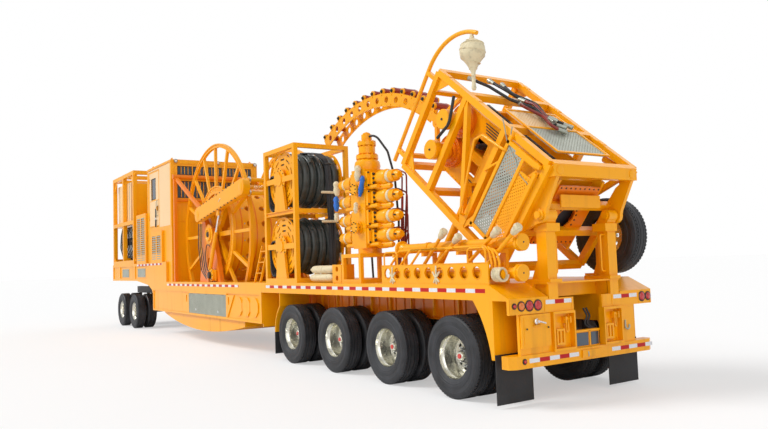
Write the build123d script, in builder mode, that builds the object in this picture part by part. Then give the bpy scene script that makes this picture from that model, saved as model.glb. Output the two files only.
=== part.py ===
# Coiled tubing unit: a four-axle trailer with a gooseneck carried on a two-axle dolly.
# Millimetres. +X is the rear, +Y the right-hand side, +Z up. The ground is Z = 0 and the
# origin is midway along the machine on its centre plane.
import os
from math import atan2, cos, degrees, hypot, radians, sin

from build123d import *

os.makedirs("parts", exist_ok=True)

# Overall
width = 2590
half = width / 2
plate = 40
skin = 20

# Heights and stations of the frame
neck_under = 1460
neck_top = 1960
sill_low = 640
deck_top = 1440
rail_low = 1250
neck_slope_x = -6690
drop_x = -4950
neck_end = -3650
bulkhead_x = 2550
tail_x = 9490
frame_top = deck_top - skin
spine_y = 480
spine_w = 130

locker_x = (-1800, 700)
locker_z = (690, 1170)
relief = 22
corner_run = 340
corner_skin = 24
post_y = (480, 640)
bumper_z = (470, 620)
light_low = 1090

# Road wheels
tyre_r = 524
tyre_w = 275
twin_gap = 50
rim_r = 292
axle_gap = 1520
last_axle = 8400
axle_z = tyre_r
rear_axles = [last_axle - n * axle_gap for n in (3, 2, 1, 0)]
kingpin_x = -7900
dolly_axles = [kingpin_x - axle_gap / 2, kingpin_x + axle_gap / 2]
spindle_r = 45
axle_tube_r = 66
hub_long = 210
wheel_in = half - 2 * tyre_w - twin_gap
wheel_mid = (half + wheel_in) / 2
running = 0.05
seat = 0.3

# Tubing reel
reel_x = -780
reel_z = 2560
reel_r = 2170
core_r = 1100
reel_half = 950
well = (reel_x - 2000, reel_x + 2000)

# Levelwind
lw_pivot = (-1150, 3050)
lw_end = (1600, 3440)
lw_y = 1200
lw_base = (-560, 1640)
lug_at = (150, 3020)

# Hose reels
hose_x = (2820, 4140)
hose_y = (-1290, -150)
hose_top = 3960
spool_x = 3480
spool_r = 540
spool_z = (2110, 3350)
hose_wrap_r = 450

# Blowout preventer stack
bop_x = 5900
bop_y = -850

# Injector: corner A of its crash frame, lengths along the frame and across it
inj_a = (7750, 4400)
inj_tilt = 38.6
inj_len = 2530
inj_deep = 1520
inj_half = 800
tube = 90
pin_x = 9470
pin_z = 2250
pin_r = 45
mast_base = (7300, 1560)
mast_lug = (1405, 1110)
mast_y = 640

# The front plate lies as far ahead of the origin as the injector frame's corner lies behind it
front_x = -(inj_a[0] + (inj_len + tube / 2) * cos(radians(inj_tilt)) + tube / 2 * sin(radians(inj_tilt)))

# Cabin and power pack
cab_x = (-5630, -3320)
cab_z = (2900, 4730)
cab_half = half - 65
wall = 60
pack_x = (-9700, -7000)
pack_top = 4900


def block(x, y, z, mode=Mode.ADD):
    """A box between pairs of limits."""
    with Locations(((x[0] + x[1]) / 2, (y[0] + y[1]) / 2, (z[0] + z[1]) / 2)):
        Box(x[1] - x[0], y[1] - y[0], z[1] - z[0], mode=mode)


def mirrored(x, y, z, mode=Mode.ADD):
    """The same box on the left and on the right of the centre plane."""
    block(x, (-y[1], -y[0]), z, mode)
    block(x, y, z, mode)


def member(a, b, w, h=None, mode=Mode.ADD):
    """A square or flat bar from point a to point b, its width w along Y where it can be."""
    a, b = Vector(*a), Vector(*b)
    run = b - a
    side = Vector(0, 1, 0) if abs(run.Y) < 0.9 * run.length else Vector(1, 0, 0)
    side = side - run * (side.dot(run) / run.dot(run))
    with Locations(Plane(origin=(a + b) / 2, x_dir=side, z_dir=run)):
        Box(w, h or w, run.length, mode=mode)


def rod(a, b, r, mode=Mode.ADD):
    """A round bar from point a to point b."""
    a, b = Vector(*a), Vector(*b)
    with Locations(Plane(origin=(a + b) / 2, z_dir=b - a)):
        Cylinder(r, (b - a).length, mode=mode)


def across(x, z, y, r, mode=Mode.ADD):
    """A round bar along Y through (x, z)."""
    rod((x, y[0], z), (x, y[1], z), r, mode)


def inj(u, v, y=0):
    """A point given along (u), across (v) and beside (y) the injector frame."""
    c, s = cos(radians(inj_tilt)), sin(radians(inj_tilt))
    return (inj_a[0] + u * c - v * s, y, inj_a[1] - u * s - v * c)


def bent(points, r, bend):
    """A round bar along points, its corners rounded to one bend radius."""
    with BuildLine() as path:
        FilletPolyline(*points, radius=bend)
    start = path.line.edges()[0]
    with BuildSketch(Plane(origin=start @ 0, z_dir=start % 0)) as section:
        Circle(r)
    sweep(section.sketch, path=path.line)


def boss(outline, y, depth, hole=None):
    """A raised plate of one outline in the XZ plane, its higher Y face at y."""
    with BuildSketch(Plane.XZ.offset(-y)) as profile:
        with BuildLine():
            Polyline(*outline, close=True)
        make_face()
        if hole:
            with Locations(hole[0]):
                Ellipse(*hole[1], mode=Mode.SUBTRACT)
    extrude(profile.sketch, amount=depth)


def save(builder, name):
    builder.part.label = name
    export_step(builder.part, f"parts/{name}.step")


def cylinder_pair(name, base, eye, y, bore_r, rod_r, pin, filled, retract=0):
    """A hydraulic cylinder on each side: barrels in one node, rods in the next."""
    run = Vector(eye[0] - base[0], 0, eye[1] - base[1])
    step = run.normalized()
    foot, mouth = run.length * 0.12, run.length * filled
    with BuildPart() as barrel:
        for side in (-1, 1):
            a = Vector(base[0], side * y, base[1])
            width = sorted((side * (y - rod_r), side * (y + rod_r)))
            rod(tuple(a), tuple(a + step * 120), rod_r)
            across(*base, width, pin * 1.9)
            rod(tuple(a + step * 100), tuple(a + step * mouth), bore_r)
            across(*base, width, pin + running, Mode.SUBTRACT)
            rod(tuple(a + step * foot), tuple(a + step * (mouth + 5)),
                rod_r + running, Mode.SUBTRACT)
    save(barrel, name + "_barrel")
    with BuildPart() as piston:
        for side in (-1, 1):
            a = Vector(base[0], side * y, base[1])
            rod(tuple(a + step * (foot + 5 + retract)), tuple(a + step * run.length), rod_r)
            across(*eye, sorted((side * (y - rod_r), side * (y + rod_r))), pin * 1.6)
    save(piston, name + "_rod")


def fork(centre, y, rod_r, reach, z, pin=0):
    """Bracket plates on both sides of each cylinder's eye, with a pin through them if it has one."""
    for side in (-1, 1):
        for near in (y - rod_r - seat - 26, y + rod_r + seat):
            block((centre[0] - reach, centre[0] + reach), sorted((side * near, side * (near + 26))), z)
        if pin:
            across(*centre, sorted((side * (y - rod_r - 26), side * (y + rod_r + 26))), pin)


# Side outline of the frame from gooseneck to bulkhead
outline = [
    (front_x, neck_under), (neck_slope_x, neck_under), (drop_x - 450, neck_under - 120),
    (drop_x - 90, neck_under - 250), (drop_x, neck_under - 360), (drop_x, sill_low),
    (bulkhead_x + plate, sill_low), (bulkhead_x + plate, frame_top), (neck_end, frame_top),
    (neck_end, neck_top), (front_x, neck_top),
]

with BuildPart() as chassis:
    for y in (-half, half - plate):
        with BuildSketch(Plane.XZ.offset(-y - plate)):
            with BuildLine():
                Polyline(*outline, close=True)
            make_face()
        extrude(amount=plate)
    inner = (-half + plate, half - plate)
    # cross members: x from, x to, z from, z to
    for x0, x1, z0, z1 in [
        (front_x, front_x + 80, neck_under, neck_top),
        (-8900, -8780, neck_under, neck_top),
        (-7000, -6880, neck_under, neck_top),
        (-5800, -5680, neck_under, neck_top),
        (drop_x, drop_x + 60, sill_low, neck_top),
        (neck_end - 60, neck_end, frame_top, neck_top),
        (well[0] - plate, well[0], sill_low, frame_top),
        (well[1], well[1] + plate, sill_low, frame_top),
        (bulkhead_x, bulkhead_x + plate, sill_low - 60, frame_top),
    ]:
        block((x0, x1), inner, (z0, z1))
    # spines: x from, x to, z from
    for x0, x1, z0 in [
        (front_x + 80, drop_x, neck_under + 200), (drop_x, well[0] - plate, 950),
        (well[1] + plate, bulkhead_x, 950), (bulkhead_x + plate, tail_x - 60, 900),
    ]:
        top = neck_top if x0 < drop_x else frame_top
        mirrored((x0, x1), (spine_y, spine_y + spine_w), (z0, top))
    for x in [bulkhead_x + 400] + [a + axle_gap / 2 for a in rear_axles]:
        reach = half - 120 if x + 100 < tail_x - corner_run else post_y[1] + 20
        block((x, x + 100), (-reach, reach), (rail_low, frame_top))
    for y in (-half, half - plate):
        block(locker_x, (y, y + plate), locker_z, Mode.SUBTRACT)
    # webs recessed between flanges, with flush gussets beside the locker and eight-sided panels
    web_z = (sill_low + 45, rail_low - 50)
    web_mid = (web_z[0] + web_z[1]) / 2
    pockets = [(drop_x + 60, locker_x[0] - 40, *web_z), (locker_x[1] + 40, bulkhead_x - 40, *web_z)]
    pockets += [(x0, x1, neck_under + 60, neck_top - 60)
                for x0, x1 in ((front_x + 90, -8950), (-8780, -7050), (-6900, -5450))]
    for plane, depth in ((Plane.XZ.offset(half), -relief), (Plane.XZ.offset(-half), relief)):
        with BuildSketch(plane):
            for x0, x1, z0, z1 in pockets:
                with Locations(((x0 + x1) / 2, (z0 + z1) / 2)):
                    Rectangle(x1 - x0, z1 - z0)
            with Locations(*[(x, web_mid) for x in (1400, 1810, 2220)]):
                RegularPolygon(205, 8, rotation=22.5, mode=Mode.SUBTRACT)
            for edge, way in ((locker_x[0] - 40, -1), (locker_x[1] + 40, 1)):
                with BuildLine():
                    Polyline((edge, locker_z[1]), (edge + way * 420, locker_z[1]),
                             (edge + way * 30, web_z[0]), (edge, web_z[0]), close=True)
                make_face(mode=Mode.SUBTRACT)
                with Locations((edge + way * 120, 1040)):
                    Ellipse(45, 90)
        extrude(amount=depth, mode=Mode.SUBTRACT)
    # stiffeners along the rear spines
    with Locations(*[(x, side * (spine_y + spine_w + 35), (960 + frame_top) / 2)
                     for x in range(bulkhead_x + 250, tail_x - 400, 560) for side in (-1, 1)]):
        Box(20, 70, frame_top - 960)
    # coupler plate and kingpin
    block((kingpin_x - 500, kingpin_x + 500), inner, (neck_under, neck_under + 30))
    rod((kingpin_x, 0, neck_under), (kingpin_x, 0, neck_under - 85), 44.5)
save(chassis, "chassis")

with BuildPart() as belly_pan:
    pan_x = (-4000, 1600)
    with BuildSketch(Plane.XZ.offset(-half + 60)):
        with BuildLine():
            Line((pan_x[0], sill_low), (pan_x[1], sill_low))
            Line((pan_x[1], sill_low), (pan_x[1], 520))
            ThreePointArc((pan_x[1], 520), (reel_x, 300), (pan_x[0], sill_low - 40))
            Line((pan_x[0], sill_low - 40), (pan_x[0], sill_low))
        make_face()
    extrude(amount=width - 120)
    with BuildSketch(Plane.XZ.offset(-half + 60 + skin)):
        with BuildLine():
            Line((pan_x[0] + 60, sill_low), (pan_x[1] - skin, sill_low))
            Line((pan_x[1] - skin, sill_low), (pan_x[1] - skin, 520 + skin))
            ThreePointArc((pan_x[1] - skin, 520 + skin), (reel_x, 300 + skin),
                          (pan_x[0] + 60, sill_low - 22))
            Line((pan_x[0] + 60, sill_low - 22), (pan_x[0] + 60, sill_low))
        make_face()
    extrude(amount=width - 120 - 2 * skin, mode=Mode.SUBTRACT)
save(belly_pan, "belly_pan")


corner_low = rail_low + corner_skin


def rear_corners(outline, outer, mode):
    """A prism of one XZ outline at each outer rear corner of the deck, out to a given Y."""
    inner_y = post_y[1] + 20
    for y in (outer, -inner_y):
        with BuildSketch(Plane.XZ.offset(-y)) as wedge:
            with BuildLine():
                Polyline(*outline, close=True)
            make_face()
        extrude(wedge.sketch, amount=outer - inner_y, mode=mode)


with BuildPart() as deck:
    block((front_x, neck_end), (-half, half), (neck_top, neck_top + skin))
    block((neck_end, bulkhead_x + plate), (-half, half), (frame_top, deck_top))
    block(well, (-1030, 1030), (frame_top, deck_top), Mode.SUBTRACT)
    block((bulkhead_x + plate, tail_x), (-half, half), (frame_top, deck_top))
    mirrored((bulkhead_x + plate, tail_x), (half - plate, half), (rail_low, frame_top))
    corner = [(tail_x - corner_run, deck_top), (tail_x, deck_top), (tail_x, corner_low)]
    rear_corners(corner, half, Mode.SUBTRACT)
    rear_corners([*corner, (tail_x, rail_low), (tail_x - corner_run, deck_top - corner_skin)],
                 half - plate, Mode.SUBTRACT)
save(deck, "deck")


def axle_set(stations, hanger_z):
    """Axle beams with spindles, springs and hangers that carry twin wheels."""
    hub_face = wheel_mid - hub_long / 2
    spring_y = spine_y + spine_w / 2
    with Locations(*[Plane(origin=(x, 0, axle_z), z_dir=(0, 1, 0)) for x in stations]):
        Cylinder(axle_tube_r, 2 * (hub_face - 6))
        Cylinder(spindle_r, 2 * (wheel_mid + hub_long / 2 - 5))
    # saddles, springs and their hangers: along from the axle, length, width, z from, z to
    for dx, long, wide, z0, z1 in [
        (0, 120, spine_w, axle_z, hanger_z - 190), (0, 1000, spine_w - 40, axle_z + 60, axle_z + 110),
        (-475, 50, spine_w - 40, axle_z + 60, hanger_z), (475, 50, spine_w - 40, axle_z + 60, hanger_z),
    ]:
        with Locations(*[(x + dx, side * spring_y, (z0 + z1) / 2) for x in stations for side in (-1, 1)]):
            Box(long, wide, z1 - z0)


with BuildPart() as running_gear:
    axle_set(rear_axles, 900)
save(running_gear, "running_gear")


# One pair of tyres on dished rims with its hub, at the origin, its outer face towards +Y
tyre_section = [
    (38, rim_r - 22), (38, rim_r + 10), (6, rim_r + 70), (0, 430), (22, tyre_r - 18), (50, tyre_r),
]
tyre_outline = tyre_section + [(tyre_w - s, r) for s, r in reversed(tyre_section)]

with BuildPart() as wheel:
    with BuildSketch(Plane.YZ):
        for s in (wheel_in, wheel_in + tyre_w + twin_gap):
            with BuildLine():
                Polyline(*[(s + across_tyre, r) for across_tyre, r in tyre_outline], close=True)
            make_face()
        with Locations((wheel_mid, rim_r - 28)):
            Rectangle(2 * (half - wheel_mid) - 70, 24)
        with Locations((wheel_mid, (100 + rim_r - 30) / 2)):
            Rectangle(24, rim_r - 130)
        with Locations((wheel_mid, 60)):
            Rectangle(hub_long, 120)
        with Locations(((wheel_mid + half - 90) / 2, 38)):
            Rectangle(half - 90 - wheel_mid, 76)
        with Locations((wheel_mid - 20, (spindle_r + running) / 2)):
            Rectangle(hub_long + 40, spindle_r + running, mode=Mode.SUBTRACT)
    revolve(axis=Axis.Y)
    with Locations(Plane(origin=(0, wheel_mid, 0), z_dir=(0, 1, 0))):
        with PolarLocations(195, 10):
            Cylinder(30, 60, mode=Mode.SUBTRACT)

wheel_sides = (("left", 180), ("right", 0))
for stem, stations in (("wheel", rear_axles), ("dolly_wheel", dolly_axles)):
    for n, x in enumerate(stations):
        for side_name, turn in wheel_sides:
            with BuildPart() as placed:
                with Locations(Location((x, 0, axle_z), (0, 0, turn))):
                    add(wheel.part)
            save(placed, f"{stem}_{n + 1}_{side_name}")

with BuildPart() as dolly_frame:
    axle_set(dolly_axles, 1040)
    mirrored((kingpin_x - 1400, kingpin_x + 1300), (spine_y, spine_y + spine_w), (1040, 1250))
    for x in (-1400, -800, -60, 600, 1200):
        block((kingpin_x + x, kingpin_x + x + 100), (-spine_y, spine_y), (1080, 1230))
    with Locations((kingpin_x, 0, (1250 + neck_under) / 2 - 0.15)):
        Box(900, 1000, neck_under - 1250 - seat)
    with Locations((kingpin_x, 0, neck_under - 50)):
        Cylinder(44.5 + running, 100, mode=Mode.SUBTRACT)
    block((kingpin_x - 200, kingpin_x + 200), (-200, 200), (neck_under - 130, neck_under - 90))
    # drawbar eyes at the front
    for y in (-260, 200):
        block((kingpin_x - 1520, kingpin_x - 1400), (y, y + 60), (1080, 1230))
    across(kingpin_x - 1460, 1155, (-300, 300), 25, Mode.SUBTRACT)
save(dolly_frame, "dolly_frame")

with BuildPart() as fenders:
    # skirts behind the last wheels, and curved guards ahead of the first
    tail = last_axle + tyre_r
    guard_r = tyre_r + 110
    for y in (-half, 690):
        with BuildSketch(Plane.XZ.offset(-y - 605)):
            with BuildLine():
                Line((tail + 290, rail_low), (tail - 60, rail_low))
                ThreePointArc((tail - 60, rail_low), (tail + 130, 940), (tail + 240, 560))
                Line((tail + 240, 560), (tail + 290, 560))
                Line((tail + 290, 560), (tail + 290, rail_low))
            make_face()
        extrude(amount=605)
        with BuildSketch(Plane.XZ.offset(-y - 605)):
            with BuildLine():
                outer = CenterArc((rear_axles[0], axle_z), guard_r + 20, 130, 50)
                inner_arc = CenterArc((rear_axles[0], axle_z), guard_r, 130, 50)
                Line(outer @ 0, inner_arc @ 0)
                Line(outer @ 1, inner_arc @ 1)
            make_face()
        extrude(amount=605)
        block((rear_axles[0] - guard_r * cos(radians(50)) - 20, rear_axles[0] - guard_r * cos(radians(50))),
              (y, y + 605), (axle_z + guard_r * sin(radians(50)) + 5, rail_low))
save(fenders, "fenders")

with BuildPart() as mud_flaps:
    for x, low, top in ((rear_axles[0] - guard_r - 32, 120, 640), (last_axle + tyre_r + 290, 40, 620)):
        mirrored((x, x + 12), (700, half - 5), (low, top))
save(mud_flaps, "mud_flaps")

columns = ((-610, -230), (300, 660))

with BuildPart() as rear_wall:
    # light bar with its middle gap, sloped corner sheets, bumper beam with cut ends
    for y in ((-half, columns[0][1] + 10), (columns[1][0], half)):
        block((tail_x - plate, tail_x), y, (light_low, rail_low))
    for y in (post_y, (-post_y[1], -post_y[0])):
        block((tail_x - plate, tail_x), y, (rail_low, frame_top))
    rear_corners([(tail_x - corner_run, deck_top), (tail_x, corner_low), (tail_x, rail_low),
                  (tail_x - plate, rail_low), (tail_x - corner_run, deck_top - corner_skin)],
                 half - plate, Mode.ADD)
    with BuildSketch(Plane.XY.offset(bumper_z[0])):
        with BuildLine():
            Polyline((tail_x - 160, -half), (tail_x - 50, -half), (tail_x, -half + 90), (tail_x, half - 90),
                     (tail_x - 50, half), (tail_x - 160, half), close=True)
        make_face()
    extrude(amount=bumper_z[1] - bumper_z[0])
    for y0, y1 in columns:
        # open box with a slotted step and a shackle under its lugs
        block((tail_x - 60, tail_x + 30), (y0, y1), (bumper_z[1], light_low))
        block((tail_x - 45, tail_x + 30), (y0 + 25, y1 - 25), (bumper_z[1] + 30, light_low - 30),
              Mode.SUBTRACT)
        middle = (y0 + y1) / 2
        block((tail_x - 45, tail_x + 15), (middle - 130, middle + 10), (bumper_z[1] + 70, bumper_z[1] + 260))
        for y in (middle - 105, middle - 45):
            block((tail_x - 15, tail_x + 15), (y, y + 30), (bumper_z[1] + 95, bumper_z[1] + 235),
                  Mode.SUBTRACT)
        for y in (middle + 20, middle + 100):
            block((tail_x - 45, tail_x + 25), (y, y + 20), (light_low - 150, light_low - 70))
        across(tail_x - 5, light_low - 100, (middle + 10, middle + 130), 12)
        with BuildSketch(Plane(origin=(tail_x - 14, middle + 70, 920), x_dir=(0, 1, 0), z_dir=(1, 0, 0))):
            SlotOverall(190, 50, rotation=90)
            SlotOverall(150, 18, rotation=90, mode=Mode.SUBTRACT)
        extrude(amount=18)
    for y0, y1 in ((-1130, columns[0][0]), (columns[1][1], 940)):
        block((tail_x - 60, tail_x - 20), (y0, y1), (bumper_z[1], light_low))
    # raised plate in the middle of the bumper
    block((tail_x, tail_x + 20), (-120, 220), (bumper_z[0] + 30, bumper_z[1] - 30))
save(rear_wall, "rear_wall")

with BuildPart() as toolbox_door:
    block((tail_x - 20 + seat, tail_x + 5), (-1120, -640), (700, 1080))
    block((tail_x + 5, tail_x + 9), (-1080, -680), (735, 1045))
    rod((tail_x + 9, -880, 950), (tail_x + 26, -880, 950), 9)
    rod((tail_x + 26, -940, 950), (tail_x + 26, -820, 950), 9)
    for z in (750, 1020):
        rod((tail_x + 7, -1122, z), (tail_x + 7, -1122, z + 60), 12)
save(toolbox_door, "toolbox_door")

with BuildPart() as lamps:
    for y, r in ((-1150, 55), (-1010, 65), (-860, 65), (860, 65), (1010, 65), (1150, 55)):
        rod((tail_x, y, 1190), (tail_x + 30, y, 1190), r * 0.85)
save(lamps, "lamps")

with BuildPart() as side_lockers:
    mirrored(locker_x, (1050, half), locker_z)
save(side_lockers, "side_lockers")

with BuildPart() as power_pack_frame:
    floor = neck_top + skin
    post = 120
    for x in (pack_x[0], -8400, pack_x[1] - post):
        mirrored((x, x + post), (half - post, half), (floor, pack_top))
        block((x, x + post), (-half + post, half - post), (floor, floor + 200))
        block((x, x + post), (-half + post, half - post), (pack_top - post, pack_top))
    for z in (floor, 3230, pack_top - post):
        mirrored(pack_x, (half - post, half), (z, z + post))
    block(pack_x, (-half + post, half - post), (3230, 3230 + skin))
    block((pack_x[1] - 60, pack_x[1] - 30), (-half + post, half - post), (3250, pack_top - 400))
    for x, way in ((pack_x[0] + post, 1), (pack_x[1] - post, -1)):
        for y in (-half + 40, half - 60):
            member((x, y, pack_top - 420), (x + way * 300, y, pack_top - post), 20, 90)
save(power_pack_frame, "power_pack_frame")

with BuildPart() as engine_block:
    block((-9200, -7500), (-450, 450), (floor + 200, 3050))
save(engine_block, "engine_block")

with BuildPart() as coolant_tank:
    block((-9480, -7800), (-half + post + 5, half - post - 5), (3250, 4620))
save(coolant_tank, "coolant_tank")

with BuildPart() as oil_tank:
    block((-6850, -5750), (-1050, 1050), (floor, 3350))
    block((-6700, -5900), (-900, 900), (3350, 3900))
save(oil_tank, "oil_tank")

with BuildPart() as cabin_base:
    block((cab_x[0], neck_end), (-cab_half, cab_half), (floor, cab_z[0]))
    block((neck_end, cab_x[1]), (-cab_half, cab_half), (deck_top, cab_z[0]))
save(cabin_base, "cabin_base")

door_x = (-5420, -4450)
door_z = (cab_z[0] + 90, 4600)
pane_rows = ((4330, 4540), (3700, 4130))
pane_y = [-860, -430, 0, 430, 860]
pane_half = 185
side_pane = ((-5200, -4780), (3800, 4380))

with BuildPart() as cabin_shell:
    block(cab_x, (-cab_half, cab_half), cab_z)
    block((cab_x[0] + wall, cab_x[1] - wall), (-cab_half + wall, cab_half - wall),
          (cab_z[0] + wall, cab_z[1] - wall), Mode.SUBTRACT)
    for z0, z1 in pane_rows:
        for y in pane_y:
            block((cab_x[1] - wall, cab_x[1]), (y - pane_half, y + pane_half), (z0, z1), Mode.SUBTRACT)
            for bar in (-95, 0, 95):
                block((cab_x[1] - 14, cab_x[1]), (y + bar - 8, y + bar + 8), (z0, z1))
    # work lamps under the roof's rear edge
    for y in (-1118, 58, 1163):
        rod((cab_x[1], y, cab_z[1] - 30), (cab_x[1] + 30, y, cab_z[1] - 30), 22)
        rod((cab_x[1] + 30, y, cab_z[1] - 40), (cab_x[1] + 80, y, cab_z[1] - 55), 45)
    block(door_x, (-cab_half, -cab_half + wall), door_z, Mode.SUBTRACT)
    block((-5200, -4300), (cab_half - wall, cab_half), (3700, 4400), Mode.SUBTRACT)
    block((cab_x[0], cab_x[0] + wall), (-900, 900), (3700, 4400), Mode.SUBTRACT)
save(cabin_shell, "cabin_shell")

with BuildPart() as cabin_glass:
    for z0, z1 in pane_rows:
        for y in pane_y:
            block((cab_x[1] - wall + 20, cab_x[1] - wall + 28), (y - pane_half, y + pane_half), (z0, z1))
    block((-5200, -4300), (cab_half - 40, cab_half - 32), (3700, 4400))
    block((cab_x[0] + 32, cab_x[0] + 40), (-900, 900), (3700, 4400))
save(cabin_glass, "cabin_glass")

with BuildPart() as cabin_door:
    gap = 6
    block((door_x[0] + gap, door_x[1] - gap), (-cab_half, -cab_half + wall - 5),
          (door_z[0] + gap, door_z[1] - gap))
    block(side_pane[0], (-cab_half, -cab_half + wall), side_pane[1], Mode.SUBTRACT)
    block(side_pane[0], (-cab_half + 20, -cab_half + 28), side_pane[1])
    block((-4600, -4560), (-cab_half - 45, -cab_half), (3450, 3560))
    # knuckles on the hinge line
    for z in (3200, 4300):
        rod((door_x[0] + 20, -cab_half - 13, z), (door_x[0] + 20, -cab_half - 13, z + 120), 13)
save(cabin_door, "cabin_door")

with BuildPart() as access_steps:
    # framed flights of treads folded against the side: x from, z to
    for x, z1 in ((-6690, 3450), (-5080, 2850)):
        y = (-half + 1, -cab_half)
        block((x, x + 1040), y, (floor, z1))
        for pane in (x + 90, x + 560):
            block((pane, pane + 390), y, (floor + 250, z1 - 130), Mode.SUBTRACT)
            for s in (60, 180, 300):
                block((pane + s, pane + s + 60), (-half + 15, -half + 45), (floor + 250, z1 - 130))
save(access_steps, "access_steps")

with BuildPart() as reel_stand:
    for side in (-1, 1):
        y = sorted((side * 1010, side * 1110))
        with BuildSketch(Plane.XZ.offset(-y[1])):
            with BuildLine():
                Polyline((reel_x - 700, deck_top), (reel_x + 700, deck_top), (reel_x + 420, 2160),
                         (reel_x + 170, reel_z + 150), (reel_x - 170, reel_z + 150),
                         (lw_pivot[0] - 110, lw_pivot[1] + 110), (lw_pivot[0] - 150, 2160), close=True)
            make_face()
            with Locations((reel_x - 40, 1790)):
                Ellipse(130, 230, mode=Mode.SUBTRACT)
        extrude(amount=100)
        across(reel_x, reel_z, y, 90 + running, Mode.SUBTRACT)
        across(*lw_pivot, sorted((side * 1110, side * 1290)), 60)
        # front portal leg and brace
        member((-3150, side * 1180, deck_top), (-3150, side * 1180, 4230), 80)
        member((-3110, side * 1150, 4170), (lw_pivot[0] - 60, side * 1060, lw_pivot[1] + 40), 80)
    across(-3150, 4230, (-1240, 1240), 60)
    across(-3150, 3600, (-1180, 1180), 40)
    fork(lw_base, lw_y, 25, 60, (deck_top, lw_base[1] + 50), 20)
save(reel_stand, "reel_stand")

flange = 60

with BuildPart() as tubing_reel:
    # drum with its grid of drilled holes, end rings and axle
    with Locations(Plane(origin=(reel_x, 0, reel_z), z_dir=(0, 1, 0))):
        Cylinder(core_r, 2 * (reel_half - flange))
        Cylinder(core_r - 30, 2 * reel_half, mode=Mode.SUBTRACT)
    for y in (-reel_half + flange + 20, reel_half - flange - 20):
        with Locations(Plane(origin=(reel_x, y, reel_z), z_dir=(0, 1, 0))):
            with BuildSketch(Plane(origin=(reel_x, y - 20, reel_z), z_dir=(0, 1, 0))):
                Circle(core_r - 10)
                Circle(core_r - 120, mode=Mode.SUBTRACT)
                Circle(200)
                with PolarLocations((core_r + 40) / 2, 8):
                    Rectangle(core_r - 240, 110)
            extrude(amount=40)
    rows = [Plane(origin=(reel_x, y, reel_z), z_dir=(0, 1, 0)) for y in (-540, -180, 180, 540)]
    with Locations(*rows):
        with PolarLocations(core_r - 20, 18):
            Cylinder(65, 120, rotation=(0, 90, 0), mode=Mode.SUBTRACT)
    across(reel_x, reel_z, (-1140, 1140), 90)
save(tubing_reel, "tubing_reel")

with BuildPart() as reel_flanges:
    # rim, spokes, drum ring and hub on each side
    for side in (-1, 1):
        near, far = sorted((side * (reel_half - flange), side * reel_half))
        with BuildSketch(Plane(origin=(reel_x, near, reel_z), z_dir=(0, 1, 0))):
            Circle(reel_r)
            Circle(reel_r - 90, mode=Mode.SUBTRACT)
            with PolarLocations((reel_r + core_r) / 2, 16):
                Rectangle(reel_r - core_r - 60, 70)
            with BuildSketch(Plane(origin=(reel_x, near, reel_z), z_dir=(0, 1, 0)), mode=Mode.ADD):
                Circle(core_r + 60)
                Circle(core_r - 120, mode=Mode.SUBTRACT)
            with PolarLocations((core_r - 120 + 260) / 2, 8):
                Rectangle(core_r - 340, 110)
            Circle(260)
            Circle(90 + running, mode=Mode.SUBTRACT)
        extrude(amount=far - near)
save(reel_flanges, "reel_flanges")

lw_dx, lw_dz = lw_end[0] - lw_pivot[0], lw_end[1] - lw_pivot[1]
lw_angle = degrees(atan2(lw_dz, lw_dx))
lw_long = hypot(lw_dx, lw_dz)

with BuildPart() as levelwind_frame:
    for side in (-1, 1):
        y = sorted((side * 1125, side * 1275))
        with BuildSketch(Plane(origin=(lw_pivot[0], y[1], lw_pivot[1]), x_dir=(1, 0, 0), z_dir=(0, -1, 0))):
            with Locations(Location((0, 0), lw_angle)):
                with Locations((lw_long / 2, 0)):
                    SlotCenterToCenter(lw_long, 340)
        extrude(amount=150)
        across(*lw_pivot, y, 60 + running, Mode.SUBTRACT)
    for z, r in ((150, 45), (-130, 45)):
        across(lw_end[0], lw_end[1] + z, (-1125, 1125), r)
    across(lw_end[0] + 10, lw_end[1], (-1125, 1125), 38)
    fork(lug_at, lw_y, 25, 70, (lug_at[1] - 80, lug_at[1] + 120))
save(levelwind_frame, "levelwind_frame")

with BuildPart() as levelwind_carriage:
    block((lw_end[0] - 130, lw_end[0] + 130), (-170, 170), (lw_end[1] - 220, lw_end[1] + 240))
    for z, r in ((150, 45), (-130, 45)):
        across(lw_end[0], lw_end[1] + z, (-170, 170), r + running, Mode.SUBTRACT)
    across(lw_end[0] + 10, lw_end[1], (-170, 170), 38 + running, Mode.SUBTRACT)
    for y in (-110, 80):
        block((lw_end[0] - 130, lw_end[0] + 130), (y, y + 30), (lw_end[1] + 240, lw_end[1] + 420))
    across(lw_end[0] - 70, lw_end[1] + 350, (-80, 80), 50)
    across(lw_end[0] + 70, lw_end[1] + 350, (-80, 80), 50)
save(levelwind_carriage, "levelwind_carriage")

cylinder_pair("levelwind", lw_base, lug_at, lw_y, 45, 25, 20, 0.68, retract=170)

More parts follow.
